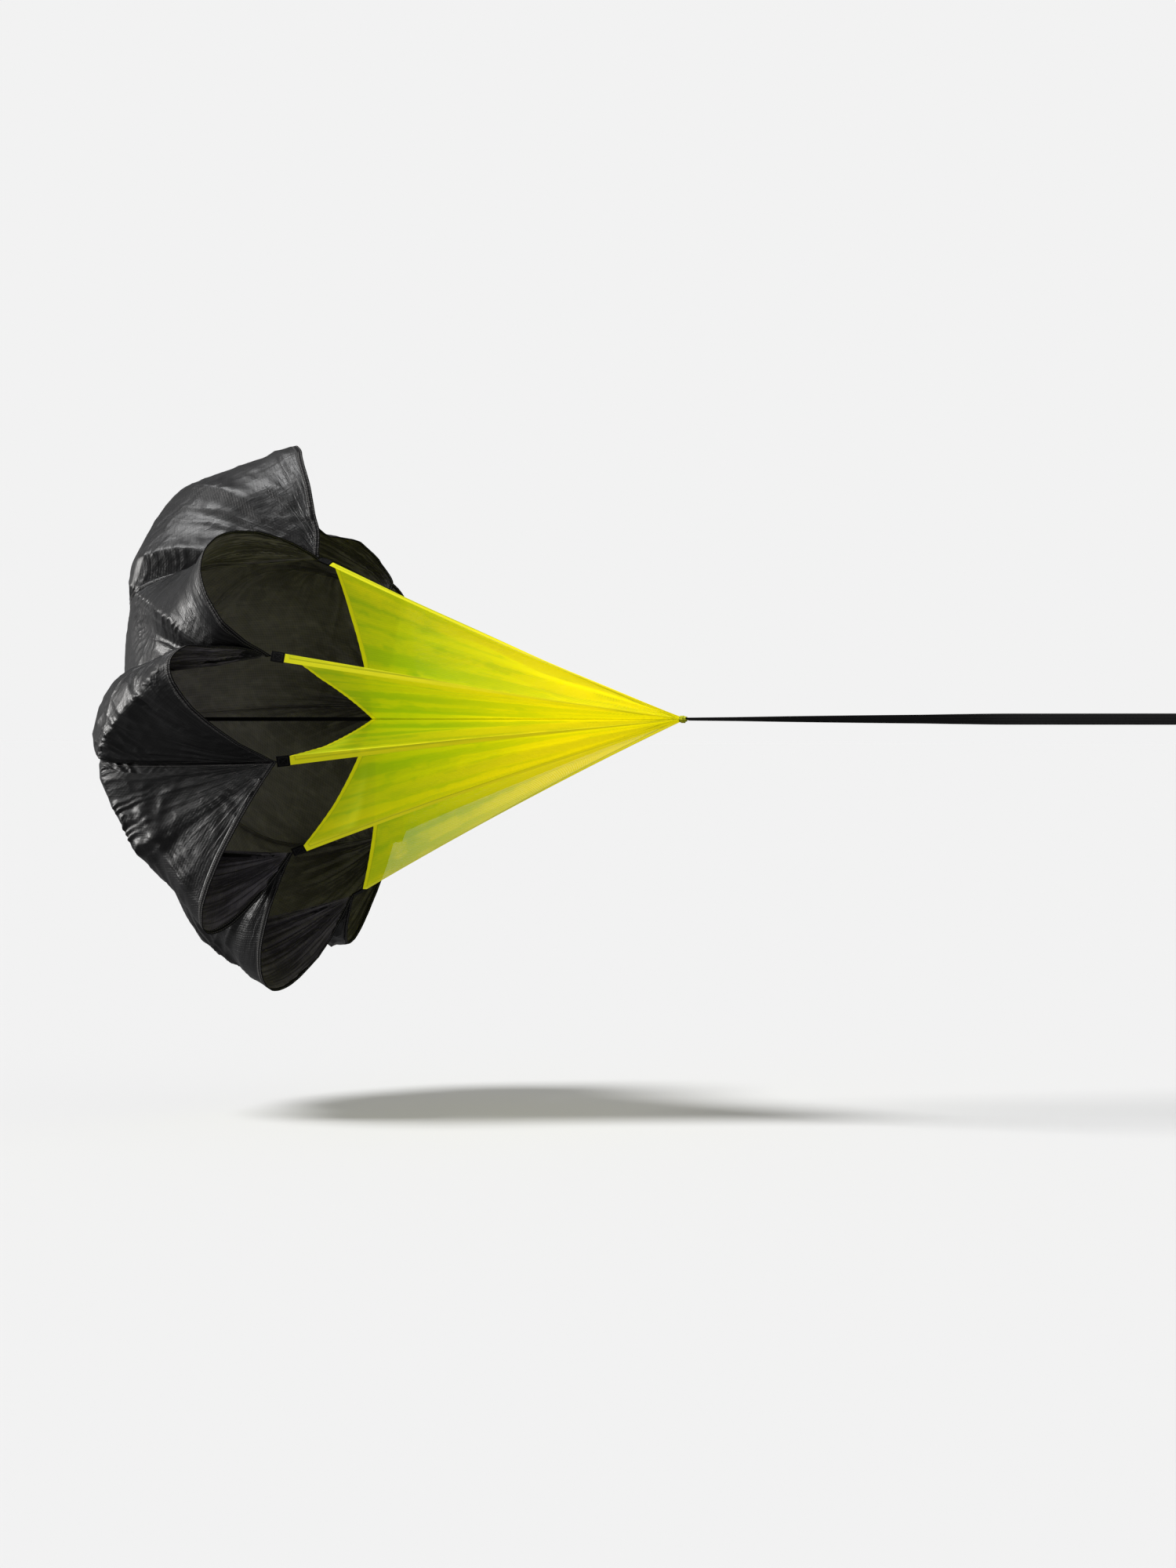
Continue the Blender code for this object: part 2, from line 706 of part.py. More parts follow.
def bar_frame(name, start_y, end_y, sign):
    """The open frame behind a buckle half, whose outer side is the bar that the webbing turns round."""
    frame = box(name, (buckle_bar_width, abs(end_y - start_y), buckle_height),
                (buckle_x, (start_y + end_y) * half_share, 0.0), None)
    inner_end = end_y - sign * buckle_bar_width
    open_start = start_y - sign * buckle_bar_width
    window_size = (buckle_height, abs(inner_end - open_start), webbing_width + keeper_margin)
    window = box(name + "_window", window_size, (buckle_x, (open_start + inner_end) * half_share, 0.0), None)
    boolean(frame, window, "DIFFERENCE")
    rounding = frame.modifiers.new("rounded_edges", "BEVEL")
    rounding.width = buckle_bevel
    rounding.segments = 2
    return frame


def make_female_buckle():
    body = box("buckle_female", (buckle_depth, buckle_length, buckle_height),
               (buckle_x, buckle_length * half_share, 0.0), black_plastic(), buckle_bevel, 2)
    frame = bar_frame("female_frame", buckle_length - buckle_wall * half_share,
                      female_bar_y + buckle_bar_width * half_share, 1.0)
    boolean(body, frame, "UNION")
    cavity_length = buckle_length - buckle_wall
    walls = both_sides * buckle_wall
    cavity_size = (buckle_depth - walls, both_sides * cavity_length, buckle_height - walls)
    cavity = box("female_cavity", cavity_size, (buckle_x, 0.0, 0.0), None)
    boolean(body, cavity, "DIFFERENCE")
    window_size = (prong_depth + buckle_wall * half_share, window_length, buckle_height + cut_overrun)
    window_y = window_start + window_length * half_share
    window = box("female_window", window_size, (buckle_x, window_y, 0.0), None)
    boolean(body, window, "DIFFERENCE")


def make_male_buckle():
    front = -touch_gap
    root = box("buckle_male", (male_root_depth, male_root_length, buckle_height - buckle_bevel),
               (buckle_x, front - male_root_length * half_share, 0.0), black_plastic(), buckle_bevel, 2)
    frame = bar_frame("male_frame", front - male_root_length + buckle_wall,
                      male_bar_y - buckle_bar_width * half_share, -1.0)
    boolean(root, frame, "UNION")
    guide = box("male_guide", (prong_depth, guide_length, guide_width),
                (buckle_x, guide_length * half_share - buckle_wall, 0.0), None, buckle_bevel, 2)
    boolean(root, guide, "UNION")
    for name, side in (("prong_upper", 1.0), ("prong_lower", -1.0)):
        points = [(y * prong_length, side * z * prong_width) for y, z in prong_outline_shares]
        outline(name, [points], prong_depth, black_plastic(), (quarter_turn, 0.0, quarter_turn),
                (buckle_x, 0.0, side * (buckle_height * half_share - prong_inset)))


def make_ring():
    """The sewn webbing loop on the back of the belt and the D-ring whose straight bar turns in it."""
    bump = circle_points(sleeve_outer, round_sides // 2 + 1, (ring_bar_x, 0.0), quarter_turn, math.pi,
                         closed=False)
    plate = [(-anchor_outer, sleeve_outer)] + bump + [(-anchor_outer, -sleeve_outer)]
    plate += [(-anchor_outer, -anchor_width * half_share), (-anchor_inner, -anchor_width * half_share)]
    plate += [(-anchor_inner, anchor_width * half_share), (-anchor_outer, anchor_width * half_share)]
    outline("ring_anchor", [plate, circle_points(sleeve_bore, round_sides, (ring_bar_x, 0.0))], anchor_height,
            black_webbing())
    straight = ring_half_height - ring_corner
    path = [(0.0, -straight), (0.0, straight)]
    steps = [quarter_turn * (i + 1) / ring_corner_steps for i in range(ring_corner_steps)]
    path += [(ring_corner * (math.cos(a) - 1.0), straight + ring_corner * math.sin(a)) for a in steps]
    reach = ring_reach - ring_corner
    turns = [quarter_turn * (1.0 - 2.0 * (i + 1) / (ring_points + 1)) for i in range(ring_points)]
    path += [(-ring_corner - reach * math.cos(a), ring_half_height * math.sin(a)) for a in turns]
    steps.reverse()
    path += [(ring_corner * (math.cos(a) - 1.0), -straight - ring_corner * math.sin(a)) for a in steps]
    tube("d_ring", [(ring_bar_x + x, 0.0, z) for x, z in path], bar_radius, steel(), closed=True)


def make_hook():
    """A bent-wire hook with a drilled barrel at its foot and a forked lug for the gate."""
    bow = circle_points(hook_bow_radius, round_sides // 2 + 1, (hook_centre_x, 0.0), quarter_turn, -math.pi,
                        closed=False)
    foot = circle_points(hook_bow_radius, round_sides // 2 + 1, (foot_centre_x, 0.0), -quarter_turn,
                         -hook_foot_sweep, closed=False)
    path = [(hook_centre_x - hook_nose_length, hook_bow_radius)] + bow + foot
    body = tube_mesh("hook_body", [(x, y, 0.0) for x, y in path], hook_wire, steel())
    barrel_middle = (barrel_front_x + barrel_back_x) * half_share
    barrel = cylinder("hook_barrel", barrel_radius, barrel_length, (barrel_middle, 0.0, 0.0), "X", None)
    boolean(body, barrel, "UNION")
    lug = box("gate_lug", (lug_length, lug_width, gate_pin_length), (lug_x, hook_bow_radius, 0.0), None,
              lug_bevel, 2)
    boolean(body, lug, "UNION")
    slot_size = (lug_length, lug_width + cut_overrun, gate_thickness + both_sides * stem_clearance)
    slot = box("gate_slot", slot_size, (slot_x, hook_bow_radius, 0.0), None)
    boolean(body, slot, "DIFFERENCE")
    pin_hole = cylinder("gate_pin_hole", gate_pin_radius + touch_gap, gate_pin_length + cut_overrun,
                        (gate_pin_x, hook_bow_radius, 0.0), "Z", None, pin_sides)
    boolean(body, pin_hole, "DIFFERENCE")
    bore_length = both_sides * (barrel_length + stem_room_length)
    bore = cylinder("barrel_bore", stem_radius + stem_clearance, bore_length, (barrel_back_x, 0.0, 0.0),
                    "X", None)
    boolean(body, bore, "DIFFERENCE")
    room = cylinder("head_room", stem_head_radius + stem_clearance, stem_room_length,
                    (barrel_front_x + stem_room_length * half_share, 0.0, 0.0), "X", None)
    boolean(body, room, "DIFFERENCE")
    back = circle_points(gate_radius, pin_sides + 1, (0.0, 0.0), quarter_turn, math.pi, closed=False)
    gate_end = (gate_length - gate_radius, 0.0)
    front = circle_points(gate_radius, pin_sides + 1, gate_end, -quarter_turn, math.pi, closed=False)
    hole = circle_points(gate_pin_radius + touch_gap, pin_sides)
    outline("hook_gate", [back + front, hole], gate_thickness, steel(), (0.0, 0.0, 0.0),
            (gate_pin_x, hook_bow_radius, 0.0))
    cylinder("gate_pin", gate_pin_radius, gate_pin_length, (gate_pin_x, hook_bow_radius, 0.0), "Z", steel(),
             pin_sides)


def rounded_loop(back_x, front_x, half_height, corner, steps):
    """A rectangle with round corners in the upright plane of the pull line."""
    centres = ((front_x - corner, half_height - corner), (back_x + corner, half_height - corner),
               (back_x + corner, corner - half_height), (front_x - corner, corner - half_height))
    points = []
    for number, (x, z) in enumerate(centres):
        start = quarter_turn * number
        arc = circle_points(corner, steps + 1, (x, z), start, quarter_turn, closed=False)
        points += [(px, 0.0, pz) for px, pz in arc]
    return points


def make_swivel_eye():
    path = rounded_loop(eye_bar_x, eye_front_x, eye_half_height, eye_corner, ring_corner_steps)
    loop = tube_mesh("swivel_eye", path, eye_wire, steel(), closed=True)
    stem_front = barrel_front_x + touch_gap + stem_head_length * half_share
    stem_length = stem_front - eye_front_x
    stem = cylinder("eye_stem", stem_radius, stem_length, (eye_front_x + stem_length * half_share, 0.0, 0.0),
                    "X", None)
    boolean(loop, stem, "UNION")
    head = cylinder("eye_head", stem_head_radius, stem_head_length,
                    (barrel_front_x + touch_gap + stem_head_length * half_share, 0.0, 0.0), "X", None)
    boolean(loop, head, "UNION")


def build():
    clear_scene()
    make_gores()
    make_crown_patches()
    make_corner_tabs()
    make_fins()
    make_tip()
    make_straps()
    make_swivel_eye()
    make_hook()
    make_ring()
    make_belt()
    make_keepers()
    make_female_buckle()
    make_male_buckle()


build()
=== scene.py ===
import math

import bmesh
import bpy
import numpy as np
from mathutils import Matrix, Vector


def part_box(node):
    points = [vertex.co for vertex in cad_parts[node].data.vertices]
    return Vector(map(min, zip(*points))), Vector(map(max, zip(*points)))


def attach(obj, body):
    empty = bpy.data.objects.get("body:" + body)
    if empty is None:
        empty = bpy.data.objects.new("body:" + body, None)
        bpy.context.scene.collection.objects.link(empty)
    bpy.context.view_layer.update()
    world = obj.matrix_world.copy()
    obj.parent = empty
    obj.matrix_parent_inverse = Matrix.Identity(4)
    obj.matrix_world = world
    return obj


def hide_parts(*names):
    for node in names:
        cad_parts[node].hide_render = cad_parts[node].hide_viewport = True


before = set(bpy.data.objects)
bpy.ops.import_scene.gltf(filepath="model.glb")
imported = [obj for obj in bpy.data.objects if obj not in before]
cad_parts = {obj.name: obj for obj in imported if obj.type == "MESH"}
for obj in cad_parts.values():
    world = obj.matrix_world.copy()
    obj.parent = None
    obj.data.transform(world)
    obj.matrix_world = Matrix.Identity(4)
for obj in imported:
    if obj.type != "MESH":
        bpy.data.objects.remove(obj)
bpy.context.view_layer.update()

touchGap = 0.0003           # between pieces that touch
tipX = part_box("tether_strap")[0][0] - touchGap      # where the fins meet the tether
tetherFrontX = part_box("tether_strap")[1][0]
print("frame loaded, tip at", round(tipX, 4))


# Camera: the photograph's viewing angle, aimed at the middle of its frame
cameraSetup = {
    "turn": 27.0,               # degrees round the object
    "distance": 8.0,            # to the middle of the cone
    "middleBehindTip": 0.8625,
    "metresPerPixel": 0.0015,
    "tipPixel": (877.0, 917.0),
    "imageSize": (1500.0, 2000.0),
    "sensor": 36.0,
    "farthest": 200.0,
}


def addObject(name, data):
    thing = bpy.data.objects.new(name, data)
    bpy.context.scene.collection.objects.link(thing)
    return thing


def turnTo(thing, way):
    thing.rotation_mode = "QUATERNION"
    thing.rotation_quaternion = way.to_track_quat("-Z", "Y")


def addCamera():
    turn, distance = math.radians(cameraSetup["turn"]), cameraSetup["distance"]
    back = Vector((math.sin(turn), -math.cos(turn), 0))
    right = Vector((math.cos(turn), math.sin(turn), 0))
    up = Vector((0, 0, 1))
    place = Vector((tipX - cameraSetup["middleBehindTip"], 0, 0)) + back * distance
    focal = distance / cameraSetup["metresPerPixel"]     # in pixels
    toTip = Vector((tipX, 0, 0)) - place
    straightX = cameraSetup["tipPixel"][0] - focal * toTip.dot(right) / toTip.dot(-back)
    straightY = cameraSetup["tipPixel"][1] + focal * toTip.dot(up) / toTip.dot(-back)
    width, height = cameraSetup["imageSize"]
    data = bpy.data.cameras.new("photo_camera")
    data.sensor_width = cameraSetup["sensor"]
    data.lens = cameraSetup["sensor"] * focal / height
    data.clip_end = cameraSetup["farthest"]
    camera = addObject("photo_camera", data)
    camera.location = place
    turnTo(camera, -back * focal + right * (width / 2 - straightX) - up * (height / 2 - straightY))
    bpy.context.scene.camera = camera


# Shader maths: a wire is one socket, and an expression on wires adds its Math nodes
class Wire:
    def __init__(self, paint, socket):
        self.paint, self.socket = paint, socket

    def maths(self, operation, *values):
        return self.paint.make("ShaderNodeMath", {"operation": operation}, dict(enumerate(values)))

    def __add__(self, other):
        return self.maths("ADD", self, other)

    def __radd__(self, other):
        return self.maths("ADD", other, self)

    def __sub__(self, other):
        return self.maths("SUBTRACT", self, other)

    def __rsub__(self, other):
        return self.maths("SUBTRACT", other, self)

    def __mul__(self, other):
        return self.maths("MULTIPLY", self, other)

    def __rmul__(self, other):
        return self.maths("MULTIPLY", other, self)

    def __truediv__(self, other):
        return self.maths("DIVIDE", self, other)

    def sin(self):
        return self.maths("SINE", self)

    def absolute(self):
        return self.maths("ABSOLUTE", self)

    def largest(self, other):
        return self.maths("MAXIMUM", self, other)

    def pingPong(self, scale):
        return self.maths("PINGPONG", self, scale)

    def waves(self, pitch):         # a sine with one wave to each pitch
        return (self * (2 * math.pi / pitch)).sin()

    def dashes(self, pitch, low, high):         # 1 on each dash, 0 between two, one to each pitch
        return (self * (math.pi / pitch)).sin().absolute().step(low, high)

    def step(self, low, high):      # 0 below low, 1 above high, smooth between
        return self.paint.make("ShaderNodeMapRange", {"interpolation_type": "SMOOTHSTEP"},
                               {"Value": self, "From Min": low, "From Max": high})


class Paint:
    def __init__(self, name, **values):
        self.material = bpy.data.materials.new(name)
        self.material.use_nodes = True
        self.tree = self.material.node_tree
        self.shader = self.tree.nodes["Principled BSDF"]
        self.set(**values)

    def feed(self, socket, value):      # a wire, a number, or a colour of three shares
        if isinstance(value, Wire):
            self.tree.links.new(value.socket, socket)
        else:
            socket.default_value = (*value, 1) if isinstance(value, tuple) else value

    def make(self, kind, settings, sockets, out=0):
        node = self.tree.nodes.new(kind)
        for key, value in settings.items():
            setattr(node, key, value)
        for key, value in sockets.items():
            self.feed(node.inputs[key], value)
        return Wire(self, node.outputs[out])

    def set(self, **values):
        for key, value in values.items():
            self.feed(self.shader.inputs[key.replace("_", " ")], value)

    def uv(self, name):
        both = self.make("ShaderNodeUVMap", {"uv_map": name}, {})
        first = self.make("ShaderNodeSeparateXYZ", {}, {0: both})
        return first, Wire(self, first.socket.node.outputs[1])

    def mix(self, share, first, second):
        return self.make("ShaderNodeMix", {"data_type": "RGBA"}, {0: share, 6: first, 7: second}, 2)

    def noise(self, where, scale, detail=3.0, rough=0.55):
        return self.make("ShaderNodeTexNoise", {},
                         {"Vector": where, "Scale": scale, "Detail": detail, "Roughness": rough})

    def place(self, x, y, z=0.0):
        return self.make("ShaderNodeCombineXYZ", {}, {0: x, 1: y, 2: z})

    def objectPlace(self):
        return self.make("ShaderNodeTexCoord", {}, {}, 3)

    def bump(self, height, strength):
        self.set(Normal=self.make("ShaderNodeBump", {},
                                  {"Height": height, "Distance": 1.0, "Strength": strength}))


def shade(colour, share):
    return tuple(c * share for c in colour)


def stitchLine(along, distance, offset, pitch, width=0.0009):
    # Dashes of thread at one distance from an edge: 1 on the thread, 0 beside it
    line = 1 - (distance - offset).absolute().step(width * 0.5, width)
    return line * along.dashes(pitch, 0.25, 0.5)


def creases(paint, where, scale, sharpness):
    # Sharp thin lines where the noise crosses its middle: 1 on the line, 0 away from it
    return 1 - (paint.noise(where, scale, 4.0, 0.5) * 2 - 1).absolute().step(0.0, sharpness)


# Black nylon: sizes in metres, then what each face of the cloth looks like
nylon = {
    "weave": 0.0009, "ripstop": 0.0026, "ripstopLine": (0.0002, 0.0005),
    "thread": (0.16, 0.155, 0.15), "stitch": 0.0042, "hemRows": (0.0090, 0.0024), "seamRow": 0.0050,
    "hemEnd": (0.0100, 0.0115), "seamEnd": (0.0065, 0.0080), "barRows": (0.0022, 0.0078), "barPucker": 0.0085,
    "outer": {"plain": (0.0050, 0.0051, 0.0056), "worn": (0.0085, 0.0085, 0.0090), "roughness": 0.36,
              "specular": 0.34, "threadShare": 0.70, "pullReach": 0.34},
    # The inner face is the matte uncoated side, but its colour, much lighter than the outer and a little
    # blue, is painted light: it stands in for light reaching the canopy's inside and offsets the yellow light
    # from the fins
    "inner": {"plain": (0.130, 0.121, 0.138), "worn": (0.180, 0.167, 0.190), "roughness": 0.85,
              "specular": 0.10, "threadShare": 0.30, "pullReach": 0.46},
}


def canopyCloth(face):
    # Thin woven nylon with a ripstop grid, crumpled where it has been packed, and its hems and seams stitched
    look = nylon[face]
    paint = Paint("canopy_" + face, Specular_IOR_Level=look["specular"])
    u, v = paint.uv("cloth")
    side, along = paint.uv("seam")
    weave = u.waves(nylon["weave"]) * v.waves(nylon["weave"])
    gridU, gridV = [way.pingPong(nylon["ripstop"]).step(*nylon["ripstopLine"]) for way in (u, v)]
    ripstop = gridU * gridV
    flat, drawn = paint.place(u, v), paint.place(u, v * 0.35)
    sharp = creases(paint, flat, 9.0, 0.10) * 0.5 + creases(paint, drawn, 34.0, 0.20) * 0.5
    crumple = paint.noise(flat, 26.0, 5.0, 0.6) * 0.6 + paint.noise(drawn, 70.0, 4.0, 0.6) * 0.5
    broad = paint.noise(paint.objectPlace(), 7.0, 3.0, 0.5)
    # Lines that fan out from the two corners of a gore, where its arms pull: creases in the bump, and painted
    # shade that darkens them in the colour
    reach = side + v
    fanned = paint.place(side / (reach + 0.004) * 5.0, reach * 1.5, broad)
    fading = (1 - reach.step(0.08, look["pullReach"])) * reach.step(0.010, 0.035)
    pullCreasesAndShade = creases(paint, fanned, 3.0, 0.30) * fading
    firstRow, secondRow = [stitchLine(u, v, row, nylon["stitch"]) for row in nylon["hemRows"]]
    stitches = firstRow.largest(secondRow).largest(stitchLine(along, side, nylon["seamRow"], nylon["stitch"]))
    body = paint.mix(broad, look["plain"], look["worn"])
    body = paint.mix((1 - ripstop) * 0.35 + sharp * 0.4, body, shade(look["worn"], 1.7))
    # painted shade: the fanned creases are painted dark, as if shadowed
    body = paint.mix(pullCreasesAndShade * 0.85, body, shade(look["plain"], 0.25))
    paint.set(Base_Color=paint.mix(stitches * look["threadShare"], body, nylon["thread"]))
    paint.set(Roughness=(crumple * 0.16 + broad * 0.10 + (look["roughness"] - 0.13)).largest(stitches * 0.8))
    height = crumple * 0.0004 + sharp * 0.0004 + pullCreasesAndShade * 0.0011 + (1 - ripstop) * 0.00010 + weave * 0.00002
    edges = v.step(*nylon["hemEnd"]) * 0.0006 + side.step(*nylon["seamEnd"]) * 0.0006
    paint.bump(height + stitches * 0.0004 - edges, 0.9)
    return paint.material


def hemCloth():
    # The hem's folded cloth: two rows of stitches and small puckers between them
    paint = Paint("canopy_hem", Roughness=0.75, Specular_IOR_Level=0.12)
    u, v = paint.uv("cloth")
    firstRow, secondRow = [stitchLine(v, u, row, nylon["stitch"]) for row in nylon["barRows"]]
    stitches = firstRow.largest(secondRow)
    flat = paint.place(u, v)
    pucker = (v * (2 * math.pi / nylon["barPucker"]) + paint.noise(flat, 60.0) * 9).sin()
    worn = paint.noise(flat, 120.0, 4.0, 0.6)
    body = paint.mix(worn, nylon["outer"]["plain"], shade(nylon["outer"]["worn"], 1.4))
    paint.set(Base_Color=paint.mix(stitches * 0.8, body, nylon["thread"]))
    paint.bump(pucker * 0.0003 + worn * 0.0003 + stitches * 0.0004, 0.9)
    return paint.material


# Yellow mesh: colours, then sizes in metres
meshLook = {
    # The green is the yarn's own tone on the tape, and painted shade on the fins
    "yellow": (0.97, 0.85, 0.004), "limeAndPaintedShade": (0.40, 0.55, 0.006), "line": (0.42, 0.47, 0.004),
    "open": 0.15,           # how much less solid the cloth is in a hole
    "paintedGlow": 0.36,           # painted light: the fluorescent mesh is made to give out light in its own colour, standing in for the light that falls on it and shines through it
    "pitch": 0.0024, "rowPitchShare": 1.6, "hemEnd": (0.0085, 0.0095), "stitch": 0.0040, "stitchRow": 0.0075,
    "fold": 0.0092, "foldLine": (0.0003, 0.0013),
}


def meshCloth():
    # Knitted polyester with small round holes on a staggered grid, closed to plain cloth on its hems
    paint = Paint("yellow_mesh", Roughness=0.55, Specular_IOR_Level=0.3)
    u, v = paint.uv("cloth")
    side, along = paint.uv("edge")
    knit = u.waves(meshLook["pitch"]) * v.waves(meshLook["pitch"] * meshLook["rowPitchShare"])
    solid = 1 - side.step(*meshLook["hemEnd"])
    alpha = (0.985 - knit.step(0.0, 0.5) * meshLook["open"]).largest(solid * 0.98)
    # Painted light and shade: yellow where the mesh is lit, along the ridge and towards the tip, and a darker
    # green in the slack cloth between, in streaks
    slow = paint.noise(paint.objectPlace(), 14.0, 3.0, 0.5)
    share, run = paint.uv("fan")
    streaks = paint.noise(paint.place(share * 9, run * 0.8, slow * 2), 1.0, 3.0, 0.5).step(0.38, 0.62)
    toTip, ridge = (run + slow * 0.2).step(0.15, 0.80), 1 - (share + slow * 0.1).step(0.10, 0.42)
    lit = (toTip * 0.6 + ridge * 0.35 + streaks * 0.38 - 0.03).largest(solid * 0.6)
    line = stitchLine(along, side, meshLook["stitchRow"], meshLook["stitch"])
    fold = 1 - (side - meshLook["fold"]).absolute().step(*meshLook["foldLine"])
    # painted light and shade: the lit share turns the shaded green to yellow
    body = paint.mix(lit, meshLook["limeAndPaintedShade"], meshLook["yellow"])
    body = paint.mix((fold * 0.65).largest(line * 0.5), body, meshLook["line"])
    # Painted light: the mesh's emission takes its own painted colour
    paint.set(Base_Color=body, Alpha=alpha, Emission_Color=body, Emission_Strength=meshLook["paintedGlow"])
    crumple = paint.noise(paint.place(u * 3, v), 22.0, 4.0, 0.55)
    paint.bump(knit * -0.00020 - side.step(0.0088, 0.0096) * 0.0006 + line * 0.0003 + crumple * 0.0010, 0.8)
    return paint.material


def yellowTape():
    # The same yarn without holes, for the seam, the tip and its tag
    paint = Paint("yellow_tape", Roughness=0.6, Specular_IOR_Level=0.3)
    rib = paint.uv("cloth")[1].waves(0.0016)
    noise = paint.noise(paint.objectPlace(), 160.0, 4.0, 0.6)
    body = paint.mix(noise, meshLook["limeAndPaintedShade"], meshLook["yellow"])
    paint.set(Base_Color=paint.mix(rib.step(0.3, 0.9) * 0.25, body, meshLook["line"]))
    paint.bump(rib * 0.00015 + noise * 0.0006, 0.8)
    return paint.material


# Black strap: a herringbone of ribs across it, and where it is sewn a stitched box with a cross
strapLook = {
    "dark": (0.0035, 0.0035, 0.0038), "rib": 0.0016, "yarn": 0.0013, "bone": 0.0025, "stitch": 0.0022,
    "boxEdge": 0.80, "threadEdge": (0.03, 0.07),
}


def webbingCloth(sewn=False):
    # The box's own coordinates run from -1 to 1 across it and along it
    paint = Paint("sewn_webbing" if sewn else "black_webbing", Roughness=0.75, Specular_IOR_Level=0.10)
    u, v = paint.uv("cloth")
    rib = (v + u.pingPong(strapLook["bone"]) * 0.8).waves(strapLook["rib"])
    noise = paint.noise(paint.objectPlace(), 900.0, 2.0, 0.5)
    wear = paint.noise(paint.objectPlace(), 35.0, 4.0, 0.6)
    dark = strapLook["dark"]
    body = paint.mix((rib * 0.25 + 0.5) * noise * 1.6, shade(dark, 0.7), shade(dark, 2.6))
    body = paint.mix(wear * 0.3, body, shade(dark, 2.2))
    height = rib * 0.00018 + u.waves(strapLook["yarn"]) * 0.00006
    if sewn:
        p, q = [way.absolute() for way in paint.uv("box")]
        square = p.largest(q)
        border = 1 - (square - strapLook["boxEdge"]).absolute().step(*strapLook["threadEdge"])
        cross = (1 - (p - q).absolute().step(*strapLook["threadEdge"])) * (1 - square.step(0.84, 0.90))
        thread = border.largest(cross) * (u + v).dashes(strapLook["stitch"], 0.2, 0.45)
        body = paint.mix(thread * 0.7, body, shade(nylon["thread"], 0.35))
        height = height + thread * 0.0004
    paint.set(Base_Color=body, Sheen_Weight=0.01, Sheen_Roughness=0.4)
    paint.bump(height, 0.9)
    return paint.material


plainLooks = {
    "pad": (0.020, 0.020, 0.022), "plastic": (0.014, 0.014, 0.015), "plasticWorn": (0.027, 0.027, 0.029),
    "steel": (0.60, 0.60, 0.58), "steelBright": (0.72, 0.71, 0.69),
}


def padCloth():
    # Brushed knit over foam
    paint = Paint("pad_fabric", Roughness=0.88, Specular_IOR_Level=0.2, Sheen_Weight=0.5, Sheen_Roughness=0.5)
    where, dark = paint.objectPlace(), plainLooks["pad"]
    fine, cloudy = paint.noise(where, 1500.0, 2.0, 0.6), paint.noise(where, 40.0, 3.0, 0.5)
    paint.set(Base_Color=paint.mix(fine * 0.6 + cloudy * 0.4, shade(dark, 0.6), shade(dark, 1.9)))
    paint.bump(fine * 0.0003 + cloudy * 0.0006, 0.8)
    return paint.material


def mouldedPlastic():
    paint = Paint("black_plastic", Specular_IOR_Level=0.5)
    where = paint.objectPlace()
    grain, wear = paint.noise(where, 1800.0, 3.0, 0.6), paint.noise(where, 70.0, 4.0, 0.6)
    paint.set(Base_Color=paint.mix(wear, plainLooks["plastic"], plainLooks["plasticWorn"]))
    paint.set(Roughness=wear * 0.16 + 0.34)
    paint.bump(grain * 0.00006, 0.7)
    return paint.material


def platedSteel():
    paint = Paint("nickel_steel", Metallic=1.0)
    where = paint.objectPlace()
    fine, cloudy = paint.noise(where, 420.0, 4.0, 0.6), paint.noise(where, 60.0, 4.0, 0.6)
    paint.set(Base_Color=paint.mix(cloudy, plainLooks["steel"], plainLooks["steelBright"]))
    paint.set(Roughness=cloudy.step(0.3, 0.8) * 0.14 + 0.24)
    paint.bump(fine * 0.00004, 0.6)
    return paint.material


# Each finish: its slot's name, the function that makes it and what that function is told
finishTable = {
    "outer": ("canopy_nylon", canopyCloth, "outer"), "inner": ("canopy_nylon", canopyCloth, "inner"),
    "hem": ("canopy_nylon", hemCloth),
    "mesh": ("yellow_mesh", meshCloth), "tape": ("yellow_mesh", yellowTape),
    "webbing": ("black_webbing", webbingCloth), "sewn": ("black_webbing", webbingCloth, True),
    "pad": ("pad_fabric", padCloth), "plastic": ("black_plastic", mouldedPlastic),
    "steel": ("nickel_steel", platedSteel),
}
finishes = {}


def finish(name):
    if name not in finishes:
        maker, *values = finishTable[name][1:]
        finishes[name] = maker(*values)
    return finishes[name]


def together(*parts):
    # Coordinates side by side as the last axis; one that is a single number serves all places
    return np.stack(np.broadcast_arrays(*parts), axis=-1)


def gridPiece(name, points, uvs, finishNames, closed=False, loop=False):
    # Points in rows and columns; each four neighbours make a face. closed joins the last column to the
    # first, and loop the last row to the first
    rows, columns = points.shape[:2]
    index = np.arange(rows * columns).reshape(rows, columns)
    if closed:
        index = np.concatenate([index, index[:, :1]], axis=1)
    if loop:
        index = np.concatenate([index, index[:1]], axis=0)
    faces = together(index[:-1, :-1], index[:-1, 1:], index[1:, 1:], index[1:, :-1]).reshape(-1, 4)
    data = bpy.data.meshes.new(name)
    data.from_pydata(points.reshape(-1, 3).tolist(), [], faces.tolist())
    for uvName, uv in uvs.items():
        layer = data.uv_layers.new(name=uvName)
        layer.data.foreach_set("uv", uv.reshape(-1, 2)[faces.ravel()].astype(np.float32).ravel())
    data.shade_smooth()
    for finishName in finishNames:
        data.materials.append(finish(finishName))
    piece = addObject(name, data)
    return piece


def closeGrid(piece, rows, turnOut=True):
    # A face over each given row of point numbers, then every face turned outward
    cage = bmesh.new()
    cage.from_mesh(piece.data)
    cage.verts.ensure_lookup_table()
    for row in rows:
        cage.faces.new([cage.verts[i] for i in row]).smooth = True
    if turnOut:
        bmesh.ops.recalc_face_normals(cage, faces=cage.faces)
    cage.to_mesh(piece.data)
    cage.free()


def closeEnds(piece, columns):
    count = len(piece.data.vertices)
    closeGrid(piece, (range(columns), range(count - columns, count)))


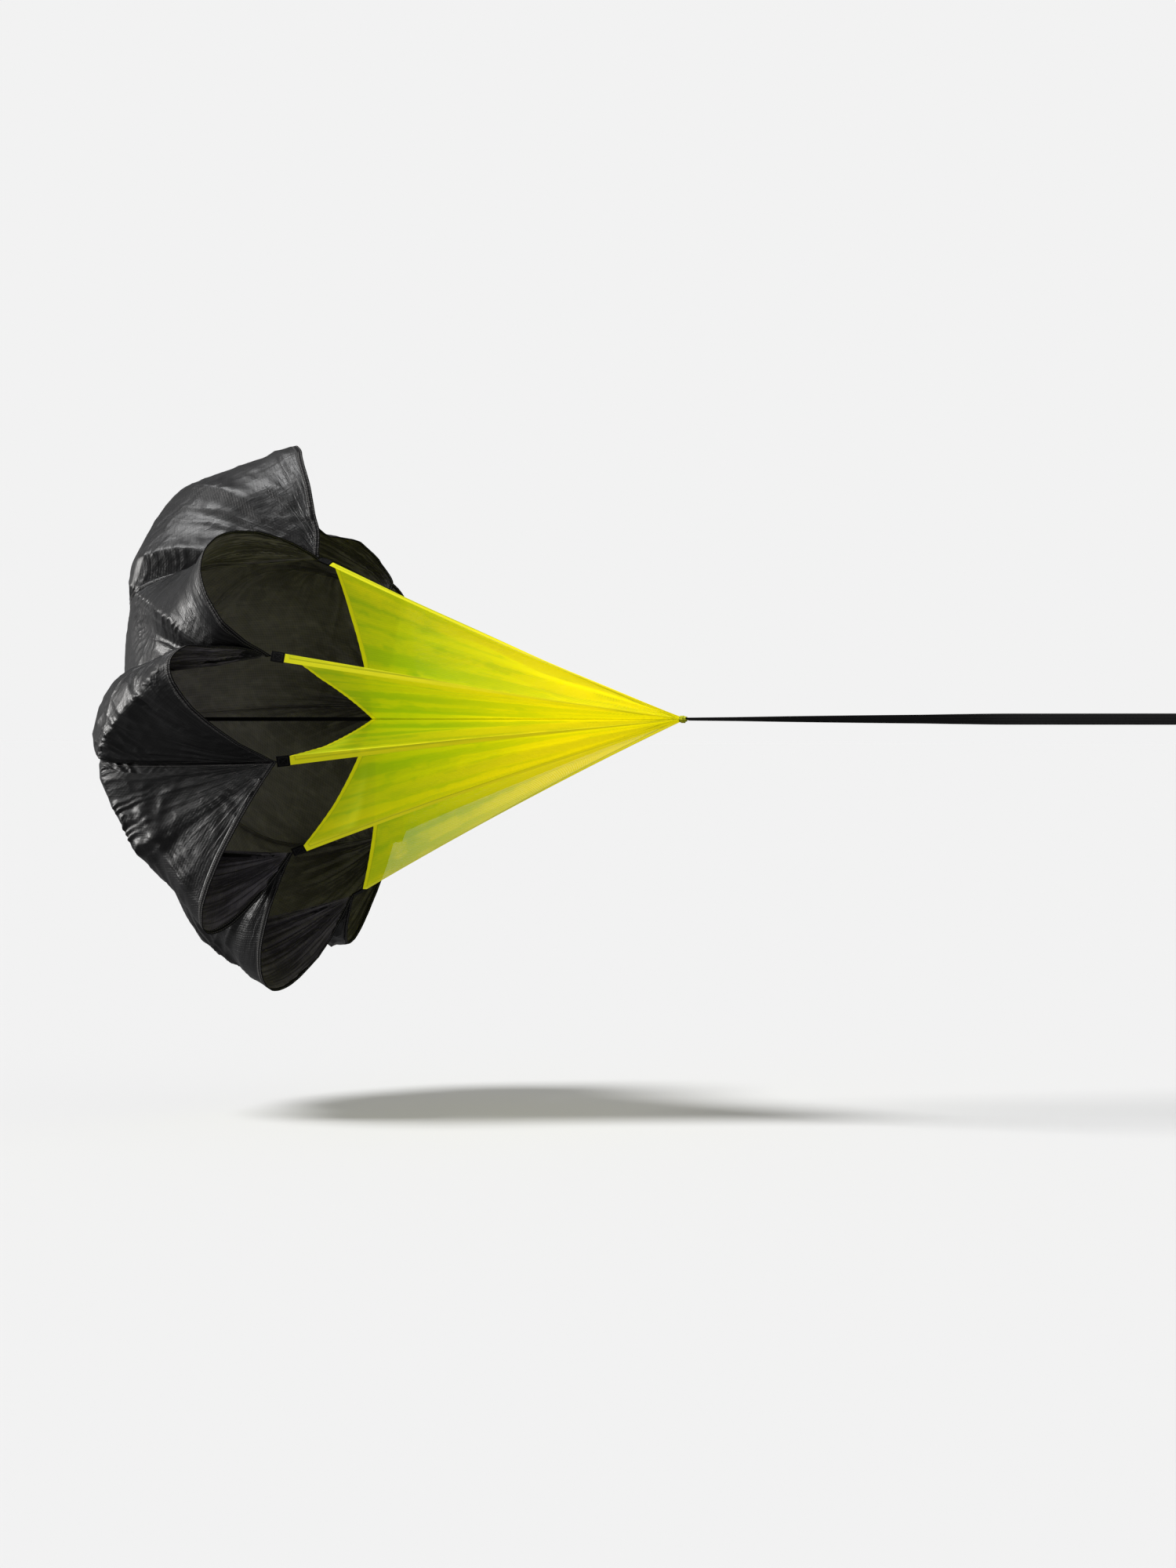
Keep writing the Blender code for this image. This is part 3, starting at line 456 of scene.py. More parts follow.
def thicken(piece, thickness, offset=-1.0, innerFinish=0):
    wall = piece.modifiers.new("wall", "SOLIDIFY")
    wall.thickness, wall.offset, wall.material_offset = thickness, offset, innerFinish


def standFor(piece, node, body="chute"):
    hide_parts(node)
    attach(piece, body)
    return piece


def unit(vectors):
    return vectors / (np.linalg.norm(vectors, axis=-1, keepdims=True) + 1e-12)


def gridNormals(points):
    along = np.gradient(points, axis=-3)
    across = np.gradient(points, axis=-2)
    return unit(np.cross(across, along))


def runLengths(points, axis):
    # Metres along the grid from its first row or column
    steps = np.linalg.norm(np.diff(points, axis=axis), axis=-1)
    pad = [(0, 0)] * steps.ndim
    pad[axis] = (1, 0)
    return np.pad(np.cumsum(steps, axis=axis), pad)


# The canopy: eight gores between eight seams, in the wind
canopy = {
    "lobeRadius": 0.500, "attachRadius": 0.310, "coneLength": 0.675, "crownDepth": 1.125, "bellyDepth": 0.135,
    "innerPointDepth": 0.636, "crownSpread": 0.240, "seamSpread": 0.225, "cloth": 0.0006,
    "tabLength": 0.024, "looseGap": 0.0008, "shoulderWeight": 2.5,
    "armAngles": (21.0, 69.0, 104.0, 140.0, 177.0, 226.0, 274.0, 323.0),
    "armReach": (1.000, 1.005, 1.005, 1.005, 1.035, 0.990, 0.970, 0.930),
    "armDepth": (0.990, 1.000, 0.975, 1.005, 0.955, 0.995, 1.000, 0.980),
    "lobeAngles": (49.0, 77.5, 141.0, 168.0, 199.5, 250.0, 298.0, 354.5),
    "lobeReach": (0.94, 0.87, 0.97, 1.03, 0.89, 1.00, 0.97, 1.11),
    "lobeDepth": (0.71, 0.74, 0.74, 0.71, 0.66, 0.69, 0.67, 0.73),
    "bellyReach": (0.50, 0.73, 0.66, 0.85, 0.89, 0.82, 0.82, 0.93),
    "bellyDepths": (0.73, 0.68, 0.66, 1.16, 1.01, 1.00, 1.00, 0.24),
    "bellyLeans": (13.0, -1.5, 3.0, 9.0, -2.0, 0.0, 0.0, 4.0),
    "seamLeans": (15.0, 6.0, -0.5, -1.0, -0.5, 0.0, 0.0, 0.0),
    "seamReach": (0.65, 0.63, 0.75, 0.65, 0.85, 0.78, 0.78, 0.84),
    "seamDepths": (0.42, 1.20, 0.63, 1.25, 0.97, 1.00, 1.00, 0.86),
    "dipLobe": 7, "dip": (0.35, 0.19, 0.66), "dipPeak": 1.3,
    # How far the hem of a gore has blown forwards and up, as (across, forwards, up)
    "blown": {
        7: ((0.0, 0.0, 0.0), (0.07, 0.022, -0.006), (0.13, 0.016, -0.008), (0.20, -0.008, 0.002),
            (0.30, -0.060, 0.016), (0.37, -0.078, 0.030), (0.45, -0.056, 0.034), (0.54, -0.012, 0.014),
            (0.62, 0.008, 0.002), (0.70, 0.024, 0.004), (0.80, 0.026, 0.010), (0.90, 0.020, 0.004),
            (1.0, 0.0, 0.0)),
        6: ((0.0, 0.0, 0.0), (0.5, -0.012, 0.0), (0.75, -0.040, 0.0), (1.0, 0.0, 0.0)),
    },
    "rows": 190, "columns": 180, "firstRow": 0.025,
}
armAngles = canopy["armAngles"]
armCount = len(armAngles)


def polar(angle, radius, depth):
    # Angle from the top towards the near side, radius from the pull line, depth behind the tip
    turn = np.radians(angle)
    return np.array([tipX - depth, -radius * np.sin(turn), radius * np.cos(turn)])


def sideways(angle):
    turn = np.radians(angle)
    return np.array([0.0, -np.cos(turn), -np.sin(turn)])


def shoulderBend(points, share):
    # Four weighted pulls, (1-s)^3, 3s(1-s)^2, 3s^2(1-s) times the shoulder's weight, and s^3, over their sum
    s = np.asarray(share, float)[..., None]
    pulls = ((1 - s) ** 3, 3 * s * (1 - s) ** 2, 3 * s * s * (1 - s) * canopy["shoulderWeight"], s ** 3)
    return sum(pull * point for pull, point in zip(pulls, points)) / sum(pulls)


def armPoint(k):
    return polar(armAngles[k], canopy["attachRadius"] * canopy["armReach"][k],
                 canopy["coneLength"] * canopy["armDepth"][k])


def armDirection(k):
    return unit(polar(0.0, 0.0, 0.0) - armPoint(k))


def crownStart(angle, spread):
    return [polar(angle, radius, canopy["crownDepth"]) for radius in (0.0, spread)]


def seamCurve(k, share):
    angle = armAngles[k]
    shoulder = polar(angle + canopy["seamLeans"][k], canopy["lobeRadius"] * canopy["seamReach"][k],
                     canopy["crownDepth"] - canopy["bellyDepth"] * canopy["seamDepths"][k])
    corner = armPoint(k) - armDirection(k) * (canopy["tabLength"] + touchGap + canopy["looseGap"])
    return shoulderBend(crownStart(angle, canopy["seamSpread"]) + [shoulder, corner], share)


def lobeCurve(k, share):
    following = armAngles[(k + 1) % armCount] + (360.0 if k == armCount - 1 else 0.0)
    middle = (armAngles[k] + following) / 2
    belly = polar(middle + canopy["bellyLeans"][k], canopy["lobeRadius"] * canopy["bellyReach"][k],
                  canopy["crownDepth"] - canopy["bellyDepth"] * canopy["bellyDepths"][k])
    rim = polar(canopy["lobeAngles"][k], canopy["lobeRadius"] * canopy["lobeReach"][k],
                canopy["crownDepth"] * canopy["lobeDepth"][k])
    return shoulderBend(crownStart(middle, canopy["crownSpread"]) + [belly, rim], share)


def blownRim(stops, across):
    # A smooth run through the stops: between two of them the share is 3t^2 - 2t^3
    stops = np.array(stops)
    place = np.clip(np.searchsorted(stops[:, 0], across, side="right") - 1, 0, len(stops) - 2)
    t = np.clip((across - stops[place, 0]) / (stops[place + 1, 0] - stops[place, 0]), 0.0, 1.0)
    t = (t * t * (3 - 2 * t))[..., None]
    moved = stops[place, 1:] * (1 - t) + stops[place + 1, 1:] * t
    return together(moved[..., 0], 0.0, moved[..., 1])


def goreBase(k, across, along):
    # Half an ellipse from seam to seam, raised to the gore's middle curve at each step from crown to rim
    first, second = seamCurve(k, along), seamCurve((k + 1) % armCount, along)
    rise = np.maximum(np.sin(np.pi * across), 0.0)
    if k == canopy["dipLobe"]:
        place, width, depth = canopy["dip"]
        rise = rise ** (1 + (canopy["dipPeak"] - 1) * along ** 2)
        rise = rise * (1 - depth * along ** 2 * np.exp(-((across - place) / width) ** 2))
    shift = ((1 - np.cos(np.pi * across)) / 2)[..., None]
    middle = (first + second) / 2
    points = first * (1 - shift) + second * shift + rise[..., None] * (lobeCurve(k, along) - middle)
    if k in canopy["blown"]:
        points = points + (along ** 3)[..., None] * blownRim(canopy["blown"][k], across)
    return points


# Folds: heights in metres over the smooth gore
folds = {
    "fanHeight": 0.0042, "fanPeak": 0.095, "fanFolds": 8.0,     # from each corner, as the pull spreads out
    "broadHeight": 0.0022, "broadPeak": 0.24, "broadFolds": 2.4,
    "shoulder": 0.60, "shoulderFront": 0.010, "bunchPitch": 0.20,   # puckers under the shoulder
    "puckerHeight": 0.0024, "puckerLength": 0.050, "puckerPitch": 0.021,
    "gatherHeight": 0.0014, "gatherReach": 0.022, "gatherPitch": 0.016,     # along each sewn seam
    "creaseHeight": 0.0010, "creasePitch": 0.085, "fineShare": 0.4,
    "insideGores": (3, 4, 5, 6), "insideShown": 1.7, "sewn": 0.007, "seed": 11,
}
# Ridges where the cloth is pulled tight over the shoulder. Each has the places it runs through, as (gore,
# across, along), then its height and reach, and the height, length and pitch of the puckers on its near side
ridges = (
    (((7, 0.95, 0.93), (7, 0.94, 0.87), (7, 0.91, 0.82), (7, 0.90, 0.77), (7, 0.89, 0.66), (7, 0.84, 0.50)),
     0.026, 0.045, 0.0016, 0.040, 0.021),
    (((0, 0.93, 0.99), (0, 0.83, 0.96), (0, 0.64, 0.93), (0, 0.13, 0.67), (7, 0.85, 0.46)),
     0.038, 0.050, 0.0050, 0.055, 0.020),
    (((1, 0.47, 0.98), (1, 0.55, 0.96), (1, 0.63, 0.90), (1, 0.74, 0.78), (2, 0.04, 0.57), (2, 0.28, 0.74),
      (2, 0.45, 0.89)), 0.026, 0.045, 0.0090, 0.060, 0.019),
    (((2, 0.16, 0.84), (2, 0.21, 0.86), (2, 0.29, 0.89), (2, 0.33, 0.93), (2, 0.36, 0.96), (2, 0.41, 0.99)),
     0.014, 0.035, 0.0060, 0.040, 0.015),
    (((7, 0.64, 0.77), (7, 0.73, 0.88), (7, 0.79, 0.94), (7, 0.85, 0.95)),
     0.012, 0.035, 0.0030, 0.040, 0.024),
    (((7, 0.76, 0.96), (7, 0.82, 0.98), (7, 0.89, 0.99)), 0.008, 0.010, 0.0, 0.030, 0.020),
)
ridgeSetup = {"gores": (0, 1, 2, 3, 7), "round": 0.004, "ends": 0.05, "clearOfArms": 0.055, "front": 0.007,
              "bunchPitch": 0.18, "step": 0.008, "nudge": 0.01, "seed": 3}


def turns(values, pitch):
    return values * (2 * np.pi / pitch)


def wander(values, pitch, rng, waves=5):
    # A smooth random line: sines of five near pitches, with random starts
    pitches = pitch * rng.uniform(0.55, 1.8, waves)
    starts = rng.uniform(0, 2 * np.pi, waves)
    return np.sin(turns(values[..., None], pitches) + starts).sum(-1) / math.sqrt(waves)


def crest(phase, sharpness=0.8):
    # One sharp ridge each turn: 1 less the sine of half the phase, to a power
    return 1 - np.abs(np.sin(phase / 2)) ** sharpness


def creaseLines(x, y, pitch, rng, waves=9):
    # Ridges where a sum of plane waves in random directions is near nought
    turn = rng.uniform(0, np.pi, waves)
    pitches = pitch * rng.uniform(0.6, 1.6, waves)
    starts = rng.uniform(0, 2 * np.pi, waves)
    phase = turns(x[..., None] * np.cos(turn) + y[..., None] * np.sin(turn), pitches) + starts
    return 1 - np.tanh(np.abs(np.sin(phase).sum(-1)) / math.sqrt(waves) * 1.4)


def hangFrom(distance, length, front):
    # 1 at the edge, dying away slowly on its near side and fast in front of it
    return np.where(distance > 0, np.exp(-np.maximum(distance, 0) / length), np.exp(-(distance / front) ** 2))


def foldHeight(k, along, acrossRun, fromCrown):
    # A sum of crests: fans from both corners, puckers under the shoulder, gathers at the seams, and creases
    rng = np.random.default_rng(folds["seed"] + k)
    fromEnd = acrossRun[:, -1:] - acrossRun
    fromHem = fromCrown[-1:] - fromCrown
    height = np.zeros_like(along)
    strength = folds["insideShown"] if k in folds["insideGores"] else 1.0
    for x in (acrossRun, fromEnd):
        away, turn = np.hypot(x, fromHem), np.arctan2(x, fromHem)
        phase = turn * 4 * folds["fanFolds"] + wander(turn, 0.5, rng) * 1.8
        fan = crest(phase + wander(away, 0.2, rng) * 0.7)
        share = away / folds["fanPeak"]
        swell = strength * folds["fanHeight"] * share * np.exp(1 - share)
        height += swell * (fan - 0.3) * (0.7 + 0.3 * wander(turn, 0.7, rng))
        share = away / folds["broadPeak"]
        broad = np.sin(turn * 4 * folds["broadFolds"] + wander(turn, 0.8, rng))
        height += folds["broadHeight"] * share ** 2 * np.exp(2 - 2 * share) * broad
    fromShoulder = fromCrown - fromCrown[int(folds["shoulder"] * along.shape[0])]
    reach = folds["puckerLength"] * np.clip(1 + 0.7 * wander(acrossRun, 0.05, rng), 0.25, None)
    bunch = np.clip(0.65 + 0.5 * wander(acrossRun, folds["bunchPitch"], rng), 0.12, 1.0)
    phase = turns(acrossRun, folds["puckerPitch"]) + wander(acrossRun, 0.09, rng) * 2.2
    phase = phase + wander(fromShoulder, 0.08, rng) * 0.9
    over = hangFrom(fromShoulder, reach, folds["shoulderFront"])
    height += folds["puckerHeight"] * over * bunch * (crest(phase, 0.9) - 0.35)
    for x in (acrossRun, fromEnd):
        near = np.exp(-(x / folds["gatherReach"]) ** 2)
        phase = turns(fromCrown + x * 0.7, folds["gatherPitch"]) + wander(fromCrown, 0.07, rng) * 2.5
        height += folds["gatherHeight"] * near * (crest(phase, 1.0) - 0.35)
    for share in (1.0, folds["fineShare"]):
        lines = creaseLines(acrossRun, fromHem, folds["creasePitch"] * share, rng)
        height += folds["creaseHeight"] * share * (lines - 0.4)
    fromSeam = np.minimum(acrossRun, fromEnd)
    return height * (1 - np.exp(-(fromSeam / folds["sewn"]) ** 2)) * np.clip((along - 0.08) / 0.07, 0, 1)


def ridgeLines():
    # Each ridge as a smooth line of points, its run, its way at each point and the mean way out of the cloth
    lines = []
    for places, *sizes in ridges:
        nudge = ridgeSetup["nudge"]
        spots = np.array([[goreBase(k, np.array([across + da]), np.array([along + ds]))[0]
                           for k, across, along in places] for da, ds in ((0, 0), (nudge, 0), (0, -nudge))])
        out = unit(-np.cross(spots[1] - spots[0], spots[2] - spots[0]).mean(0))
        path = smoothPath(spots[0], ridgeSetup["step"], 5)
        lines.append((path, runLengths(path[:, None], 0)[:, 0], unit(np.gradient(path, axis=0)), out, sizes))
    return lines


def ridgeLift(points, lines):
    # Height times e to the minus distance over reach, from the nearest point of the ridge; the puckers are
    # crests that follow each other along the ridge and die away from it on one side
    lift = np.zeros_like(points)
    for number, (path, run, ways, out, sizes) in enumerate(lines):
        high, reach, pucker, length, pitch = sizes
        rng = np.random.default_rng(ridgeSetup["seed"] + number)
        distance = np.linalg.norm(points[..., None, :] - path, axis=-1)
        nearest = distance.argmin(-1)
        away = points - path[nearest]
        distance = np.take_along_axis(distance, nearest[..., None], -1)[..., 0]
        signed = distance * np.sign((away * np.cross(out, ways[nearest])).sum(-1))
        along = run[nearest] + (away * ways[nearest]).sum(-1) * ((nearest > 0) & (nearest < len(path) - 1))
        ends = np.clip(np.minimum(along, run[-1] - along) / ridgeSetup["ends"], 0, 1)
        ends = 0.3 + 0.7 * ends ** 2 * (3 - 2 * ends)
        height = high * np.exp(-np.sqrt(distance ** 2 + ridgeSetup["round"] ** 2) / reach) * ends
        length = length * np.clip(1 + 0.6 * wander(along, 0.06, rng), 0.3, None)
        phase = turns(along, pitch) + wander(along, pitch * 2.6, rng) * 2.4
        phase = phase + wander(signed, 0.06, rng) * 1.2
        bunch = np.clip(0.7 + 0.5 * wander(along, ridgeSetup["bunchPitch"], rng), 0.15, 1.0)
        over = hangFrom(signed, length, ridgeSetup["front"])
        height += pucker * over * bunch * (crest(phase, 0.7) - 0.3) * ends
        lift += height[..., None] * out
    for k in range(armCount):
        gap = np.linalg.norm(points - seamCurve(k, 1.0), axis=-1)
        lift *= (1 - np.exp(-(gap / ridgeSetup["clearOfArms"]) ** 2))[..., None]
    return lift


def buildCanopy():
    lines = ridgeLines()
    gridAlong, gridAcross = np.meshgrid(np.linspace(canopy["firstRow"], 1.0, canopy["rows"]),
                                        np.linspace(0.0, 1.0, canopy["columns"]), indexing="ij")
    for k in range(armCount):
        base = goreBase(k, gridAcross, gridAlong)
        acrossRun, fromCrown = runLengths(base, 1), runLengths(base, 0)
        points = base + gridNormals(base) * foldHeight(k, gridAlong, acrossRun, fromCrown)[..., None]
        if k in ridgeSetup["gores"]:
            points = points + ridgeLift(base, lines)
        seamSide = np.minimum(acrossRun, acrossRun[:, -1:] - acrossRun)
        uvs = {"cloth": together(acrossRun, fromCrown[-1:] - fromCrown),
               "seam": together(seamSide, fromCrown)}
        gore = gridPiece("gore_%d" % (k + 1), points, uvs, ["outer", "inner"])
        thicken(gore, canopy["cloth"], innerFinish=1)
        standFor(gore, "canopy_gore_%d" % (k + 1))
        hem = buildHem(k, points)
        round(sheetArea(base), 3)


def sheetArea(points):
    # Half the cross product of each face's diagonals, summed
    first = points[1:, 1:] - points[:-1, :-1]
    second = points[:-1, 1:] - points[1:, :-1]
    return float(np.linalg.norm(np.cross(first, second), axis=-1).sum() / 2)


hemBar = {"width": 0.010, "thickness": 0.0022, "over": 0.0012}


def buildHem(k, points):
    # The rim folded twice on itself: a flat round-edged bar along the last rows
    inward, up = unit(points[-5] - points[-1]), gridNormals(points)[-2]
    path = points[-1] + inward * (hemBar["width"] / 2 - hemBar["over"]) - up * canopy["cloth"] / 2
    piece = sweepStrap("hem_%d" % (k + 1), path, inward, up, hemBar["width"], hemBar["thickness"], "hem")
    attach(piece, "chute")
    return piece


# The crown patches: a round of doubled cloth outside and inside, where the seams meet
crownPatch = {"rows": 16, "thickness": 0.0010, "hole": 0.0015, "reach": 0.07, "rise": 0.0010, "inset": 0.0026,
              "perGore": 14}


def buildCrownPatches():
    count = crownPatch["perGore"]
    across = np.linspace(0.0, 1.0, count + 1)[:-1]
    rows = np.linspace(crownPatch["hole"], crownPatch["reach"], crownPatch["rows"])
    for face, offset, side in (("outer", -crownPatch["rise"], 1.0), ("inner", crownPatch["inset"], -1.0)):
        rings = [np.concatenate([goreBase(k, across, np.full(count, row)) for k in range(armCount)])
                 for row in rows]
        points = np.stack(rings) + np.array([offset, 0.0, 0.0])
        fromCentre, around = runLengths(points, 0), runLengths(points, 1)
        fromEdge = fromCentre[-1:] - fromCentre
        uvs = {"cloth": together(around, fromEdge), "seam": together(fromEdge, around)}
        patch = gridPiece("crown_patch_%s_cloth" % face, points, uvs, [face], closed=True)
        closeGrid(patch, [reversed(range(points.shape[1]))], turnOut=False)
        thicken(patch, crownPatch["thickness"], offset=side)
        standFor(patch, "crown_patch_" + face)


# The mesh fins: eight see-through panels from the arms to the pull line, gathered at the tip
fins = {
    "cornerWidth": 0.017, "strip": 0.10, "stripColumns": 16, "hemSag": 0.013, "ridgeSag": 0.008,
    "axisGap": 0.0026, "tipSpread": 0.0032, "tipSetback": 0.014, "fold": 0.007, "foldWaves": 1.5,
    "pullFolds": 3.5, "pullHeight": 0.0050, "hemReach": 0.030, "hemPitch": 0.019, "hemHeight": 0.0009,
    "rows": 150, "columns": 84, "seed": 40,
}


def finSurface(k, hemShare, run):
    # Straight lines from the hem between the arm and the inner point to the gathered tip, with slack folds
    rng = np.random.default_rng(fins["seed"] + k)
    angle = armAngles[k]
    outward, side = polar(angle, 1.0, 0.0) - polar(angle, 0.0, 0.0), sideways(angle)
    corner = armPoint(k) + armDirection(k) * touchGap
    inner = polar(angle, fins["axisGap"], canopy["innerPointDepth"])
    down = np.clip((hemShare - fins["strip"]) / (1.0 - fins["strip"]), 0.0, 1.0)[..., None]
    turn = np.clip(1.0 - 2.0 * hemShare / fins["strip"], -1.0, 1.0)
    turn = turn * np.clip(1.0 - down[..., 0] * 3.0, 0.0, 1.0)
    start = corner * (1 - down) + inner * down + side * (turn * fins["cornerWidth"] / 2)[..., None]
    start = start + np.array([1.0, 0.0, 0.0]) * (4 * down * (1 - down)) * fins["hemSag"]
    tipSpread = outward * fins["tipSpread"] * (1 - hemShare)[..., None]
    end = polar(angle, fins["axisGap"], fins["tipSetback"]) + tipSpread
    free, swell = np.sin(np.pi * hemShare), np.sin(np.pi * run)
    slow = np.sin(2 * np.pi * fins["foldWaves"] * hemShare) * free * swell * fins["fold"]
    phase = 2 * np.pi * fins["pullFolds"] * hemShare + wander(hemShare, 0.5, rng)
    phase = phase + wander(run, 0.6, rng) * 0.6
    pull = (crest(phase, 1.1) - 0.35) * np.clip(free * 3, 0, 1) * swell ** 0.6 * fins["pullHeight"]
    run = run[..., None]
    sag = -outward * (4 * run * (1 - run)) * fins["ridgeSag"] * (1 - hemShare)[..., None]
    return start * (1 - run) + end * run + sag + side * (slow + pull)[..., None]


def buildFins():
    strip, count = fins["strip"], fins["stripColumns"]
    hemShare = np.concatenate([np.linspace(0.0, strip, count + 1)[:-1],
                               np.linspace(strip, 1.0, fins["columns"] - count)])
    gridRun, gridHem = np.meshgrid(np.linspace(0.0, 1.0, fins["rows"]), hemShare, indexing="ij")
    for k in range(armCount):
        points = finSurface(k, gridHem, gridRun)
        fromHem, fromRidge = runLengths(points, 0), runLengths(points, 1)
        edge = np.minimum(np.minimum(fromHem, fromRidge), fromHem[-1:] - fromHem)
        near = np.exp(-(fromHem / fins["hemReach"]) ** 2) * np.clip(gridHem * (1 - gridHem) * 8, 0, 1)
        waves = (crest(turns(fromRidge, fins["hemPitch"]), 1.0) - 0.35) * near * fins["hemHeight"]
        points = points + sideways(armAngles[k]) * waves[..., None]
        uvs = {"cloth": together(fromRidge, fromHem), "edge": together(edge, fromHem),
               "fan": together(gridHem, gridRun)}
        fin = gridPiece("fin_%d" % (k + 1), points, uvs, ["mesh"])
        standFor(fin, "mesh_fin_%d" % (k + 1))
        round(sheetArea(points), 4)


# Straps: a section carried along a path
def strapSection(width, thickness, steps=6):
    # A flat bar with round edges, as (across, up) points
    radius = thickness / 2
    turn = np.linspace(-np.pi / 2, np.pi / 2, steps)
    right = together(width / 2 - radius + radius * np.cos(turn), radius * np.sin(turn))
    return np.concatenate([right, -right])


def roundSection(radius, sides=24):
    turn = np.linspace(0, 2 * np.pi, sides, endpoint=False)
    return together(radius * np.cos(turn), radius * np.sin(turn))


def sweep(name, path, sides, ups, section, finishName, boxes=(), loop=False):
    # Each path point plus its side times the section's across, plus its up times the section's up
    sides, ups = np.broadcast_to(sides, path.shape), np.broadcast_to(ups, path.shape)
    points = path[:, None] + sides[:, None] * section[None, :, :1] + ups[:, None] * section[None, :, 1:]
    run = np.broadcast_to(runLengths(path[:, None], 0), points.shape[:2])
    across = np.broadcast_to(section[None, :, 0] - section[:, 0].min(), points.shape[:2])
    uvs = {"cloth": together(across, run)}
    if boxes:
        # Each box is its middle along the strap, its half length and its half width; a middle below 0 counts
        # back from the strap's end
        along = np.stack([(run - middle % run[-1, 0]) / halfLength for middle, halfLength, _ in boxes])
        nearest = np.take_along_axis(along, np.abs(along).argmin(0)[None], 0)[0]
        uvs["box"] = together((across - across.max() / 2) / boxes[0][2], nearest)
    piece = gridPiece(name, points, uvs, [finishName], closed=True, loop=loop)
    if loop:
        closeGrid(piece, ())
    else:
        closeEnds(piece, len(section))
    return piece


def sweepStrap(name, path, sides, ups, width, thickness, finishName, boxes=(), loop=False):
    return sweep(name, path, sides, ups, strapSection(width, thickness), finishName, boxes, loop)


def bothEnds(middle, halfLength, halfWidth):
    return [(middle, halfLength, halfWidth), (-middle, halfLength, halfWidth)]


def smoothPath(corners, step, rounds, closed=False):
    # The corner points joined by straight lines, taken at even steps, then each point moved towards its
    # neighbours
    corners = np.asarray(corners, float)
    lengths = np.concatenate([[0], np.cumsum(np.linalg.norm(np.diff(corners, axis=0), axis=1))])
    where = np.linspace(0, lengths[-1], max(int(lengths[-1] / step), 4), endpoint=not closed)
    path = together(*[np.interp(where, lengths, column) for column in corners.T])
    for _ in range(rounds):
        if closed:
            path = (np.roll(path, 1, 0) + path * 2 + np.roll(path, -1, 0)) / 4
        else:
            path[1:-1] = (path[:-2] + path[1:-1] * 2 + path[2:]) / 4
    return path


def straightPath(start, end, count):
    return together(start + (end - start) * np.linspace(0.0, 1.0, count), 0.0, 0.0)


def loopWays(path):
    return unit(np.roll(path, -1, 0) - np.roll(path, 1, 0))


def arc(radius, centreX, centreY, start, turn, steps=24):
    angles = np.linspace(start, start + turn, steps)
    return [(centreX + radius * math.cos(a), centreY + radius * math.sin(a)) for a in angles]


def foldedPath(reach, rise, step, rounds):
    # Out along the top, round the fold and back underneath, as (forward, up)
    corners = [(0.0, rise), (reach, rise)] + arc(rise, reach, 0.0, np.pi / 2, -np.pi, 12)
    return smoothPath(corners + [(reach, -rise), (0.0, -rise)], step, rounds)


def planeStrap(name, flatPath, side, up, origin, width, thickness, finishName, boxes=()):
    # A strap that bends in one plane: path points are (forward, up) in it, and its width stands across it
    side, up = unit(np.array(side, float)), unit(np.array(up, float))
    path = np.array(origin, float) + flatPath[:, :1] * np.cross(up, side) + flatPath[:, 1:] * up
    ups = np.cross(side, unit(np.gradient(path, axis=0)))
    return sweepStrap(name, path, side, ups, width, thickness, finishName, boxes)


def levelStrap(name, corners, width, thickness, finishName, boxes, step, rounds):
    # A strap whose path lies level and whose width stands upright
    path = together(*smoothPath(corners, step, rounds).T, 0.0)
    upright = np.array([0.0, 0.0, 1.0])
    ups = np.cross(upright, unit(np.gradient(path, axis=0)))
    return sweepStrap(name, path, upright, ups, width, thickness, finishName, boxes)


# The tether and the centre line, along the pull line
tether = {
    "width": 0.020, "thickness": 0.0018, "steps": 200,
    "twist": ((0.0, 78.0), (0.10, 71.0), (0.20, 60.0), (0.32, 49.0), (0.44, 38.0), (0.53, 22.0), (0.59, 5.0),
              (0.63, 0.0)),     # share of the length from the tip, and degrees from upright
    "lineWidth": 0.0075, "lineThickness": 0.0015, "lineSteps": 60,
    "loopLength": 0.060, "loopStep": 0.0006, "eyeWire": 0.0022,
    "noseBox": (0.016, 0.014, 0.0095), "endBox": (0.045, 0.011, 0.0095),
}


def buildTether():
    start = tipX + touchGap
    path = straightPath(start, tetherFrontX, tether["steps"])
    turn = np.radians(np.interp(np.linspace(0.0, 1.0, tether["steps"]), *np.array(tether["twist"]).T))
    turn[2:-2] = np.convolve(turn, np.ones(5) / 5, mode="valid")
    sides, ups = together(0.0, -np.sin(turn), np.cos(turn)), together(0.0, np.cos(turn), np.sin(turn))
    strap = sweepStrap("tether", path, sides, ups, tether["width"], tether["thickness"], "webbing")
    standFor(strap, "tether_strap")
    loop = buildTetherLoop()
    low, high = [corner[0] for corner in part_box("centre_line")]
    path = straightPath(low, high, tether["lineSteps"])
    line = sweepStrap("centre_tape", path, [0.0, 0.0, 1.0], [0.0, 1.0, 0.0],
                      tether["lineWidth"], tether["lineThickness"], "webbing")
    standFor(line, "centre_line")


def buildTetherLoop():
    # One length of the webbing round the eye's bar, its two legs sewn to the strap's end
    leg = tether["thickness"] + touchGap
    nose = tether["eyeWire"] + touchGap + tether["thickness"] / 2
    eyeBarX = tetherFrontX + tether["thickness"] + 2 * touchGap + tether["eyeWire"]
    back, throat = tetherFrontX - tether["loopLength"], tetherFrontX - nose * 2
    corners = [(back, -leg), (throat, -leg)] + arc(nose, eyeBarX, 0.0, -np.pi / 2, np.pi)
    boxes = bothEnds(*tether["noseBox"]) + bothEnds(*tether["endBox"])
    loop = levelStrap("tether_eye_loop", corners + [(throat, leg), (back, leg)], tether["width"],
                      tether["thickness"], "sewn", boxes, tether["loopStep"], 4)
    return standFor(loop, "tether_loop")


